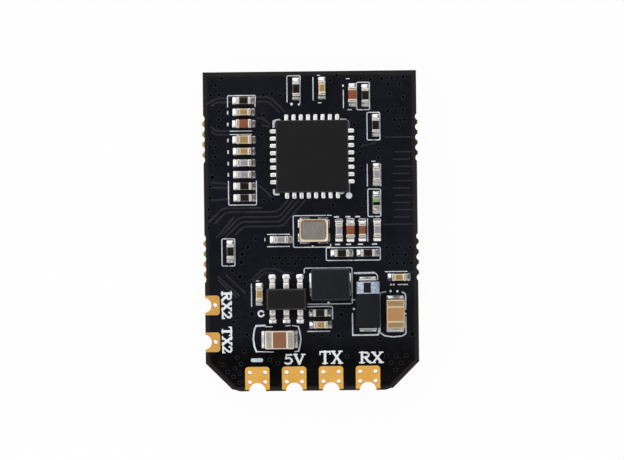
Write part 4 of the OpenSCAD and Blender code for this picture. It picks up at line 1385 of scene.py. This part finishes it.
@dataclass(frozen=True)
class ChipCapacitor:
    """One make of ceramic chip capacitor: a fired block between two metal ends, whose upper edges carry a
    painted highlight.
    """

    slot: str
    nodes: Sequence[str]
    ceramic: Look
    ceramic_highlight: Look | None = None
    metal: Look = Look.TIN
    metal_highlight: Look = Look.TIN_EDGE
    end: float = 0.24
    wall: float = 0.018
    edge: float = 0.07
    core_corner: float = 0.01
    core_edges: Flat = (0.03, 0.065)

    def build(self) -> None:
        """Builds each chip of the make in place of its solid."""
        for node in self.nodes:
            seat = Seat.of(node)
            draft = MeshDraft(f"{node}_chip")
            add_chip_ends(draft, seat, self.end, self.edge, self.metal, self.metal_highlight)
            draft.tower(seat.place.moved(0.0, w=self.wall), seat.length - 2 * self.end + self.edge,
                        seat.width - 2 * self.wall, self.core_corner,
                        rounded_profile(seat.height - 2 * self.wall, *self.core_edges), self.ceramic,
                        rim=self.ceramic_highlight)
            draft.make(self.slot, node)


POWER_CHIP = {"end": 0.52, "wall": 0.008, "edge": 0.08}
CAPACITORS = (
    ChipCapacitor("ceramic_tan", (*numbered("capacitor", (1, 3, 4, 7, 15, 16, 17)), "rear_capacitor_left",
                                  "rear_capacitor_right"), Look.TAN, Look.TAN_HIGHLIGHT),
    ChipCapacitor("ceramic_brown", numbered("capacitor", (2, 8, 11, 12)), Look.RUST),
    ChipCapacitor("ceramic_lilac", numbered("capacitor", (5, 6, 9, 10, 13, 14)), Look.LILAC, Look.LILAC_HIGHLIGHT),
    ChipCapacitor("ceramic_brown", ("input_capacitor",), Look.BROWN, Look.TIN_EDGE, Look.DULL_TIN,
                  **POWER_CHIP),
    ChipCapacitor("ceramic_tan", ("output_capacitor", "reservoir_capacitor"), Look.SAND, Look.TAN_HIGHLIGHT,
                  Look.WARM_TIN, Look.WARM_TIN_HIGHLIGHT, **POWER_CHIP))


@dataclass
class ChipResistor:
    """Film resistor: an alumina carrier with a black glaze between two metal ends."""

    node: str
    end: float = 0.22
    wall: float = 0.02
    edge: float = 0.05
    carrier_edge: float = 0.01
    glaze_t: float = 0.05
    glaze_inset: float = 0.01
    glaze_edge: float = 0.03

    def build(self) -> None:
        """Builds the chip in place of its solid."""
        seat = Seat.of(self.node)
        draft = MeshDraft(f"{self.node}_chip")
        # The ends' upper edges take the default painted tin highlight.
        add_chip_ends(draft, seat, self.end, self.edge, Look.LEAD)
        core = seat.length - 2 * self.end + self.edge
        width = seat.width - 2 * self.wall
        carrier_h = seat.height - self.wall - self.glaze_t
        draft.tower(seat.place.moved(0.0, w=self.wall), core, width, self.carrier_edge,
                    rounded_profile(carrier_h, self.carrier_edge, self.carrier_edge), Look.ALUMINA)
        draft.tower(seat.place.moved(0.0, w=self.wall + carrier_h), core, width - 2 * self.glaze_inset,
                    self.glaze_edge, rounded_profile(self.glaze_t, 0.0, self.glaze_edge), Look.GLAZE)
        draft.make("resistor_glaze", self.node)


@dataclass
class StatusLed:
    """Light-emitting chip: a white carrier with metal ends and a green block in bands."""

    node: str = "status_led"
    end: float = 0.24
    end_edge: float = 0.04
    carrier_h: float = 0.2
    carrier_drop: float = 0.01
    carrier_lap: float = 0.03
    carrier_inset: float = 0.01
    carrier_corner: float = 0.01
    carrier_edges: Flat = (0.01, 0.02)
    lens_inset: float = 0.02
    lens_corner: float = 0.06
    stops: Sequence[float] = (-0.25, -0.2, 0.02, 0.25, 0.31)
    bands: Sequence[Look] = (Look.LENS_PALE, Look.LENS_DARK, Look.LENS_GREEN, Look.LENS_PALE)

    def build(self) -> None:
        """Builds the chip in place of its solid."""
        seat = Seat.of(self.node)
        draft = MeshDraft(f"{self.node}_chip")
        base = Seat(seat.place, seat.length, seat.width, self.carrier_h)
        # The ends' upper edges take the default painted tin highlight.
        add_chip_ends(draft, base, self.end, self.end_edge)
        draft.tower(seat.place, seat.length - 2 * self.end + self.carrier_lap,
                    seat.width - 2 * self.carrier_inset, self.carrier_corner,
                    rounded_profile(self.carrier_h - self.carrier_drop, *self.carrier_edges), Look.ALUMINA)
        lens_h = seat.height - self.carrier_h
        section = rounded_loop(seat.width - 2 * self.lens_inset, lens_h, self.lens_corner)
        place = seat.place.moved(0.0, w=self.carrier_h + lens_h / 2)
        rings = [draft.loop([place.point(u, v, w) for v, w in section]) for u in self.stops]
        for a, b, look in zip(rings, rings[1:], self.bands):
            draft.bridge(a, b, look)
        draft.face(reversed(rings[0]), self.bands[0])
        draft.face(rings[-1], self.bands[-1])
        draft.make("led_resin", self.node)


@dataclass
class LeadlessPackage:
    """Leadless packages, the microcontroller and the two radio chips, with walls that draw in from the mould's
    parting line and a fine bevel round the top, which takes a painted highlight."""

    bodies: Sequence[str] = ("microcontroller_body", "transceiver_left", "transceiver_right")
    leads: Sequence[str] = ("microcontroller_leads", "transceiver_leads")
    corner: float = 0.1
    parting: float = 0.22
    lead_proud: float = 0.004
    draw: float = 0.03
    bevel: float = 0.045

    def build(self) -> None:
        """Builds the packages in place of their solids and dresses their leads."""
        for node in self.bodies:
            seat = Seat.of(node)
            draft = MeshDraft(f"{node}_case")
            edge = rounded_profile(seat.height, 0.0, self.bevel)[1:]
            profile = [(self.lead_proud, self.lead_proud), (self.lead_proud, self.parting)]
            profile += [(self.draw + inset, w) for inset, w in edge]
            draft.tower(seat.place, seat.length, seat.width, self.corner, profile, Look.EPOXY,
                        rim=Look.EPOXY_EDGE)
            draft.make("mould_compound", node)
        dress(Look.TIN, *self.leads)


@dataclass
class CrystalCase:
    """Sealed ceramic case with notched corners, a gilded seal ring that dips to the lid, a step under the lid's
    edge in painted shade that shows widest at the top and left, and a metal lid.
    """

    name: str
    case_node: str
    lid_node: str | None = None
    notch_r: float = 0.16
    notch_steps: int = 5
    base_h: float = 0.36
    corner: float = 0.22
    ring_t: float = 0.06
    ring_step: float = 0.02
    lip: float = 0.025
    dip: float = 0.042
    lid_step: float = 0.15
    lid_t: float = 0.08
    lid_wall: float = 0.85
    lid_bevel: float = 0.015
    weld_w: float = 0.055
    shade_shift: Flat = (-0.025, 0.05)
    weld_wall: Flat = (0.2, 0.7)
    weld_bevel: float = 0.03

    def build(self) -> None:
        """Builds the case in place of its solids."""
        seat = Seat.of(self.case_node)
        draft = MeshDraft(self.name)
        self.add_base(draft, seat)
        ring = seat.place.moved(0.0, w=self.base_h)
        draft.tower(ring, seat.length - 2 * self.ring_step, seat.width - 2 * self.ring_step, self.corner,
                    ((0.0, 0.0), (0.0, self.ring_t - self.lip / 2), (self.lip, self.ring_t + self.lip / 2),
                     (self.lid_step - self.ring_step, self.ring_t - self.dip)), Look.SEAL)
        lid = ring.moved(0.0, w=self.ring_t)
        length, width = seat.length - 2 * self.lid_step, seat.width - 2 * self.lid_step
        # The step under the lid takes painted shade; its shift leaves it widest at the top and left.
        low, high = self.weld_wall
        draft.tower(lid.moved(*self.shade_shift), length, width, self.corner,
                    ((0.0, -self.dip), (0.0, self.lid_t * low), (self.weld_bevel, self.lid_t * high)),
                    Look.SEAL_STEP)
        draft.tower(lid, length - 2 * self.weld_w, width - 2 * self.weld_w, self.corner - self.weld_w,
                    ((0.0, 0.0), (0.0, self.lid_t * self.lid_wall), (self.lid_bevel, self.lid_t)), Look.LID)
        draft.make("crystal_metal", *(node for node in (self.case_node, self.lid_node) if node))

    def add_base(self, draft: MeshDraft, seat: Seat) -> None:
        """Adds the notched base, with metal in its notches.

        Args:
            draft: Piece that the base goes into.
            seat: Seat of the case.
        """
        steps = self.notch_steps
        outline = []
        for corner, (su, sv) in enumerate(QUADRANTS):
            for i in range(steps + 1):
                a = math.radians(270 - 90 * i / steps + 90 * corner)
                outline.append((su * seat.length / 2 + self.notch_r * math.cos(a),
                                sv * seat.width / 2 + self.notch_r * math.sin(a)))
        low, high = (draft.loop([seat.place.point(u, v, w) for u, v in outline]) for w in (0.0, self.base_h))
        for i in range(len(outline)):
            j = (i + 1) % len(outline)
            look = Look.CASE if i % (steps + 1) == steps else Look.SEAL
            draft.face((low[i], low[j], high[j], high[i]), look)
        draft.face(reversed(low), Look.CASE)
        draft.face(high, Look.CASE)


@dataclass
class Regulator:
    """Moulded voltage regulator on six gull-wing leads, with a painted highlight round the top edge of its
    body.
    """

    body: str = "regulator_body"
    leads: str = "regulator_leads"
    slope: float = 0.07
    edge: float = 0.03
    top: Sequence[Flat] = ((0.055, 0.03), (0.06, 0.015), (0.09, 0.006), (0.12, 0.0))
    lead_w: float = 0.4
    lead_t: float = 0.12
    lead_pitch: float = 0.95
    lead_rows: int = 3
    shoulder: float = 1.09
    heel: float = 1.2
    embed: float = 0.1
    bend: float = 0.1
    bend_steps: int = 5

    def build(self) -> None:
        """Builds the body and its leads in place of their solids."""
        seat = Seat.of(self.body)
        body = MeshDraft("regulator_moulding")
        profile = drafted_profile(seat.height, self.slope, self.edge, self.top)
        body.tower(seat.place, seat.length, seat.width, MOULD_CORNER, profile, Look.EPOXY, rim=Look.EPOXY_EDGE)
        body.make("mould_compound", self.body)
        self.build_leads(seat)

    def build_leads(self, seat: Seat) -> None:
        """Builds the bent leads.

        Args:
            seat: Seat of the moulded body.
        """
        leads = MeshDraft("regulator_gull_leads")
        floor = Seat.of(self.leads).place.level
        middle = seat.place.level + seat.height / 2 - floor
        path = softened(((seat.width / 2 - self.embed, middle), (self.shoulder, middle),
                         (self.heel, self.lead_t / 2), (self.tip_reach(), self.lead_t / 2)), self.bend,
                        self.bend_steps)
        for at in self.lead_places(floor):
            leads.strap(at, path, self.lead_w, self.lead_t, Look.LEAD)
        leads.make("tinned_lead", self.leads)

    def lead_places(self, level: float) -> Iterator[Placement]:
        """Gives the frame of each lead, which points out from the middle of the body.

        Args:
            level: Height of the frames.

        Yields:
            The frames, side by side.
        """
        place = Seat.of(self.body).place
        for turn in (90.0, -90.0):
            for i in range(self.lead_rows):
                u = (i - (self.lead_rows - 1) / 2) * self.lead_pitch
                yield Placement(place.x + u, place.y, turn, level, place.side)

    def tip_reach(self) -> float:
        """Distance from the middle of the body to the tip of a lead, in millimetres."""
        low, high = solid_box(self.leads)
        return (high.y - low.y) / 2


@dataclass
class PowerInductor:
    """Pressed power inductor on two folded terminals, with a painted highlight round the block's upper edge."""

    node: str = "power_inductor"
    terminal: FoldedStrap = FoldedStrap(thickness=0.08, width=1.56, height=0.55, foot=0.6, bend=0.06)
    recess: float = 0.03
    corner: float = 0.14
    edge: float = 0.05

    def build(self) -> None:
        """Builds the block and its terminals in place of the solid."""
        seat = Seat.of(self.node)
        draft = MeshDraft("power_inductor_block")
        lift = self.terminal.thickness
        draft.tower(seat.place.moved(0.0, w=lift), seat.length - 2 * self.recess, seat.width, self.corner,
                    rounded_profile(seat.height - lift, self.edge, self.edge), Look.INDUCTOR,
                    rim=Look.INDUCTOR_HIGHLIGHT)
        self.terminal.add_pair(draft, seat)
        draft.make("inductor_block", self.node)


@dataclass
class TantalumCapacitor:
    """Moulded tantalum capacitor: a drafted case, two folded straps and a printed polarity band."""

    node: str = "tantalum_capacitor"
    strap: FoldedStrap = FoldedStrap(thickness=0.11, width=1.2, height=0.8, foot=0.7, bend=0.08)
    slope: float = 0.07
    edge: float = 0.03
    top: Sequence[Flat] = ((0.01, 0.03), (0.018, 0.006), (0.03, 0.0))
    band_from: float = 0.75
    band_to: float = 1.57
    band_gap: float = 0.035
    band_corner: float = 0.01
    window: Flat = (-0.19, 0.31)
    rule_w: float = 0.06
    ink_h: float = 0.008
    ink_edge: Flat = (0.004, 0.002)

    def build(self) -> None:
        """Builds the case, straps and band in place of the solid."""
        seat = Seat.of(self.node)
        draft = MeshDraft("tantalum_capacitor_case")
        lift = self.strap.thickness
        h = seat.height - lift
        case = seat.place.moved(0.0, w=lift)
        draft.tower(case, seat.length - 2 * lift, seat.width, MOULD_CORNER,
                    drafted_profile(h, self.slope, self.edge, self.top), Look.TANTALUM)
        self.strap.add_pair(draft, seat)
        self.add_band(draft, case.moved(0.0, w=h), seat.width / 2 - self.band_gap)
        draft.make("tantalum_case", self.node)

    def add_band(self, draft: MeshDraft, top: Placement, side: float) -> None:
        """Prints the polarity band round its bare window.

        Args:
            draft: Piece that the band goes into.
            top: Frame of the case's top face.
            side: Distance from the middle to the band's side.
        """
        first, last = self.window
        slabs = ((self.band_from, self.band_to, -side, first), (self.band_from, self.band_to, last, side),
                 (self.band_from, self.band_from + self.rule_w, first, last),
                 (self.band_to - self.rule_w, self.band_to, first, last))
        inset, rise = self.ink_edge
        profile = ((0.0, -MeshDraft.SINK), (0.0, self.ink_h), (inset, self.ink_h + rise))
        for u0, u1, v0, v1 in slabs:
            draft.tower(top.moved((u0 + u1) / 2, (v0 + v1) / 2), u1 - u0, v1 - v0, self.band_corner, profile,
                        Look.BAND_INK)


@dataclass
class AntennaSocket:
    """Micro coaxial antenna sockets on the back."""

    names: Sequence[str] = ("antenna_socket_left", "antenna_socket_right")

    def build(self) -> None:
        """Dresses the sockets."""
        for name in self.names:
            dress(Look.INSULATOR, f"{name}_base")
            dress(Look.GOLD, f"{name}_shell", f"{name}_pin")


# Solder

GRID_ROWS, GRID_COLUMNS = 14, 12
LAP = 0.06
SIDE_POWER, FRONT_POWER = 2.4, 2.6
STEEP_POWER, TOE_POWER = 9, 4
SIDE_SAG, SIDE_EASE = 0.4, 0.6
TOE_BOW, TOE_TAPER = 0.1, 0.08


@dataclass(frozen=True)
class Fillet:
    """Form of a solder fillet: its toe, width, climb, swelling and look. The swelling is a full cushion, or a
    low tent with its crest at a share of the toe and sides that bend so much. The climb is partly an even
    slope, by the share that hollow gives."""

    toe: float
    width: float
    climb: float = 0.0
    cushion: float = 0.07
    crest: float | None = None
    bend: float = 1.6
    hollow: float = 0.6
    look: Look = Look.SOLDER

    def fall(self, v: float, reach: float) -> Flat:
        """Gives how much of the swelling is left at a place of the fillet.

        Args:
            v: Place across the fillet, from -1 to 1.
            reach: Place along it, from 0 at the part to 1 at the toe.

        Returns:
            The share that is left across and the share that is left along.
        """
        if self.crest is None:
            return math.sqrt(max(0.0, 1 - abs(v) ** SIDE_POWER)), math.sqrt(max(0.0, 1 - reach ** FRONT_POWER))
        away = abs(reach - self.crest) / (self.crest if reach < self.crest else 1 - self.crest)
        return max(0.0, 1 - abs(v) ** self.bend), max(0.0, 1 - away ** self.bend)

    def rows(self, place: Placement, uneven: float) -> list[list[Point]]:
        """Gives the grid of points on top of the fillet.

        Args:
            place: Frame at the end of the part that the fillet leaves.
            uneven: Share by which this fillet differs from the plain form.

        Returns:
            Rows of points from under the part to the toe.
        """
        steps = [0.5 - 0.5 * math.cos(math.pi * i / GRID_ROWS) for i in range(GRID_ROWS + 1)]
        grid = []
        for s in [-LAP / self.toe] + steps:
            reach = max(s, 0.0)
            slope = self.hollow * (1 - reach) + (1 - self.hollow) * (1 - reach) ** STEEP_POWER
            row = []
            for j in range(GRID_COLUMNS + 1):
                v = math.sin(math.radians(180 * j / GRID_COLUMNS - 90))
                side, front = self.fall(v, reach)
                rise = self.climb * (1 + uneven) * slope * (1 - SIDE_SAG * v * v) * side ** SIDE_EASE
                swell = self.cushion * (1 - uneven) * (side * front if self.crest is None else min(side, front))
                u = self.toe * s * (1 - TOE_BOW * v ** TOE_POWER)
                across = v * self.width / 2 * (1 - TOE_TAPER * reach ** TOE_POWER)
                row.append(place.point(u, across, swell + rise))
            grid.append(row)
        return grid


Joint = tuple[Placement, Fillet]


@dataclass
class SolderWork:
    """Every solder joint of the module, as the small fillets and pads that reflow leaves."""

    chip: Fillet = Fillet(0.29, 0.54, 0.2)
    row_ends: Sequence[Fillet] = (Fillet(0.29, 0.54, 0.2, cushion=0.009, hollow=0.0),
                                  Fillet(0.29, 0.54, 0.2, cushion=0.02, hollow=0.32))
    row_chips: Sequence[str] = numbered("capacitor", range(10, 14))
    power: Fillet = Fillet(0.28, 1.25, 0.42)
    strap: Fillet = Fillet(0.2, 1.2, 0.3)
    inductor: Fillet = Fillet(0.1, 1.6, 0.02)
    # The lands take the brightened solder, painted light against the packages' shade.
    land: Fillet = Fillet(0.4, 0.27, cushion=0.046, crest=0.0, bend=1.15, look=Look.LAND_SOLDER)
    land_pitch: float = 0.5
    controller_lands: int = 8
    radio_lands: int = 6
    foot: Fillet = Fillet(0.3, 0.5, crest=0.5)
    case_end: Fillet = Fillet(0.11, 0.6, 0.12, cushion=0.042)
    case_side: Fillet = Fillet(0.11, 0.7, 0.12, cushion=0.042)
    case_notch: float = 0.02
    socket_foot: Fillet = Fillet(0.29, 1.6, 0.1)
    socket_pin: Fillet = Fillet(0.29, 0.5, 0.1)
    uneven: float = 0.12
    sink: float = 0.01
    crease: float = 60.0
    seed: int = 41

    def build(self) -> None:
        """Builds the joints of both faces in place of their solids."""
        dice = random.Random(self.seed)
        for side, joints in ((Side.FRONT, self.front_joints()), (Side.BACK, self.back_joints())):
            name = f"solder_joints_{side.name.lower()}"
            draft = MeshDraft(f"{name}_fillets")
            floor = face_of(side).point(0.0, 0.0, -self.sink)[2]
            for place, fillet in joints:
                draft.mound(fillet.rows(place, dice.uniform(-self.uneven, self.uneven)), floor, fillet.look)
            draft.make("solder", name, crease=self.crease)

    @staticmethod
    def on_face(place: Placement) -> Placement:
        """Drops a frame onto the face of the board under it."""
        return Placement(place.x, place.y, place.turn, face_of(place.side).level, place.side)

    def ends(self, node: str, first: Fillet, second: Fillet | None = None) -> Iterator[Joint]:
        """Gives the joints at both ends of a part.

        Args:
            node: Name of the part's solid.
            first: Form of the first fillet.
            second: Form of the second one, where it differs.

        Yields:
            The two joints.
        """
        seat = Seat.of(node)
        base = self.on_face(seat.place)
        for turn, fillet in ((0.0, first), (180.0, second or first)):
            yield base.moved(0.0, turn=turn).moved(seat.length / 2), fillet

    def lands(self, node: str, pins: int) -> Iterator[Joint]:
        """Gives the joints at the lands of a leadless package.

        Args:
            node: Name of the package's solid.
            pins: Lands on each side.

        Yields:
            The joints.
        """
        seat = Seat.of(node)
        base = self.on_face(seat.place)
        for turn in (0.0, 90.0, 180.0, 270.0):
            for i in range(pins):
                v = (i - (pins - 1) / 2) * self.land_pitch
                yield base.moved(0.0, turn=turn).moved(seat.length / 2, v), self.land

    def case(self, node: str) -> Iterator[Joint]:
        """Gives the joints at the corners of a crystal or oscillator case.

        Args:
            node: Name of the case's solid.

        Yields:
            The joints.
        """
        seat = Seat.of(node)
        base = self.on_face(seat.place)
        end_v = seat.width / 2 - self.case_notch - self.case_end.width / 2
        side_u = seat.length / 2 - self.case_notch - self.case_side.width / 2
        for turn in (0.0, 180.0):
            turned = base.moved(0.0, turn=turn)
            for way in (-1, 1):
                yield turned.moved(seat.length / 2, way * end_v), self.case_end
                yield turned.moved(way * side_u, seat.width / 2, turn=90.0), self.case_side

    def front_joints(self) -> Iterator[Joint]:
        """Gives every joint on the component side.

        Yields:
            The joints.
        """
        for node in (*SMALL_CAPACITORS, *RESISTORS, "status_led"):
            yield from self.ends(node, *(self.row_ends if node in self.row_chips else (self.chip,)))
        for node, fillet in (("input_capacitor", self.power), ("output_capacitor", self.power),
                             ("tantalum_capacitor", self.strap), ("power_inductor", self.inductor)):
            yield from self.ends(node, fillet)
        yield from self.lands("microcontroller_body", self.controller_lands)
        yield from self.case("crystal_case")
        regulator = Regulator()
        for at in regulator.lead_places(face_of(Side.FRONT).level):
            yield at.moved(regulator.tip_reach()), self.foot

    def back_joints(self) -> Iterator[Joint]:
        """Gives every joint on the back.

        Yields:
            The joints.
        """
        for node in ("transceiver_left", "transceiver_right"):
            yield from self.lands(node, self.radio_lands)
        for node, fillet in (("rear_capacitor_left", self.chip), ("rear_capacitor_right", self.chip),
                             ("reservoir_capacitor", self.power)):
            yield from self.ends(node, fillet)
        yield from self.case("oscillator")
        for name in AntennaSocket().names:
            yield from self.ends(f"{name}_shell", self.socket_foot)
            low, high = solid_box(f"{name}_pin")
            at = Placement((low.x + high.x) / 2, low.y, -90.0, face_of(Side.BACK).level, Side.BACK)
            yield at, self.socket_pin


# Studio

@dataclass
class Studio:
    """White floor, a soft dome of light with a dark patch round the lens, and the camera straight above."""

    floor_size: float = 3.0
    floor_drop: float = 0.01
    distance: float = 200.0
    pixels_per_mm: float = 14.52
    sensor: float = 36.0
    tilt: float = -0.65
    aim: Flat = (0.068, 0.064)
    white_share: float = 0.95
    hole_level: float = 0.035
    upper_level: float = 1.5
    lower_lit: float = 1.8
    lower_dim: float = 0.06
    lower_fill: float = 0.55
    lit_from: Point = (-0.75, 0.66, 0.0)
    lit_ramp: Flat = (-0.1, 0.5)
    fill_from: Point = (0.2, -0.98, 0.0)
    fill_ramp: Flat = (0.3, 0.8)
    upper_ramp: Flat = (0.6, 0.88)
    hole_ramp: Flat = (0.945, 0.985)
    horizon_ramp: Flat = (0.06, 0.16)
    clip: Flat = (0.001, 10.0)

    def build(self) -> None:
        """Builds the floor, the light and the camera."""
        self.add_floor()
        self.add_dome()
        self.add_camera()
        bpy.context.scene.view_settings.view_transform = "Standard"

    def add_floor(self) -> None:
        """Lays a pale floor that shows as white and keeps the module's shadow."""
        half, z = self.floor_size / 2, -self.floor_drop * MM
        mesh = bpy.data.meshes.new("studio_floor")
        mesh.from_pydata([(-half, -half, z), (half, -half, z), (half, half, z), (-half, half, z)], [],
                         [(0, 1, 2, 3)])
        floor = bpy.data.objects.new("studio_floor", mesh)
        bpy.context.scene.collection.objects.link(floor)
        material = bpy.data.materials.new("studio_white")
        sheet = NodeSheet.emptied(material)
        path = sheet.add("ShaderNodeLightPath").outputs
        seen = sheet.math("MAXIMUM", path["Is Camera Ray"],
                          sheet.math("MAXIMUM", path["Is Glossy Ray"], path["Is Transmission Ray"]))
        paper = sheet.add("ShaderNodeBsdfDiffuse", {"Color": linear((255, 255, 255))})
        white = sheet.add("ShaderNodeEmission", {"Strength": 1.0})
        mix = sheet.add("ShaderNodeMixShader", {0: sheet.math("MULTIPLY", seen, self.white_share),
                                                1: paper.outputs[0], 2: white.outputs[0]})
        sheet.add("ShaderNodeOutputMaterial", {"Surface": mix.outputs[0]})
        mesh.materials.append(material)

    def add_dome(self) -> None:
        """Lights the studio from all round, brighter from the upper left, dark straight above."""
        world = bpy.data.worlds.new("studio_dome")
        bpy.context.scene.world = world
        sheet = NodeSheet.emptied(world)
        way = sheet.add("ShaderNodeTexCoord").outputs["Generated"]
        height = sheet.add("ShaderNodeSeparateXYZ", {0: way}).outputs["Z"]
        filled = sheet.ramp(sheet.along(way, self.fill_from), *self.fill_ramp)
        lit = sheet.ramp(sheet.along(way, self.lit_from), *self.lit_ramp)
        lower = sheet.level(lit, sheet.level(filled, self.lower_dim, self.lower_fill), self.lower_lit)
        dome = sheet.level(sheet.ramp(height, *self.upper_ramp), lower, self.upper_level)
        holed = sheet.level(sheet.ramp(height, *self.hole_ramp), dome, self.hole_level)
        level = sheet.level(sheet.ramp(height, *self.horizon_ramp), 1.0, holed)
        light = sheet.add("ShaderNodeBackground", {"Strength": level})
        sheet.add("ShaderNodeOutputWorld", {"Surface": light.outputs[0]})

    def add_camera(self) -> None:
        """Sets the camera straight above the board, at the photograph's scale and turn."""
        data = bpy.data.cameras.new("camera")
        data.sensor_width = self.sensor
        data.lens = self.pixels_per_mm * self.sensor * self.distance / IMAGE_WIDTH_PX
        data.clip_start, data.clip_end = self.clip
        camera = bpy.data.objects.new("camera", data)
        level = face_of(Side.FRONT).level + self.distance
        camera.location = (self.aim[0] * MM, self.aim[1] * MM, level * MM)
        camera.rotation_euler = (0.0, 0.0, math.radians(self.tilt))
        bpy.context.scene.collection.objects.link(camera)
        bpy.context.scene.camera = camera


def main() -> None:
    """Builds the module and its studio, piece by piece."""
    logging.basicConfig(level=logging.INFO, format="%(message)s")
    BoardFace().build()
    EdgeContacts().build()
    Legend().build()
    SolderWork().build()
    for make in CAPACITORS:
        make.build()
    for node in RESISTORS:
        ChipResistor(node).build()
    StatusLed().build()
    LeadlessPackage().build()
    CrystalCase("crystal_sealed_case", "crystal_case", "crystal_lid").build()
    CrystalCase("oscillator_sealed_case", "oscillator").build()
    Regulator().build()
    PowerInductor().build()
    TantalumCapacitor().build()
    AntennaSocket().build()
    Studio().build()


if __name__ == "__main__":
    main()
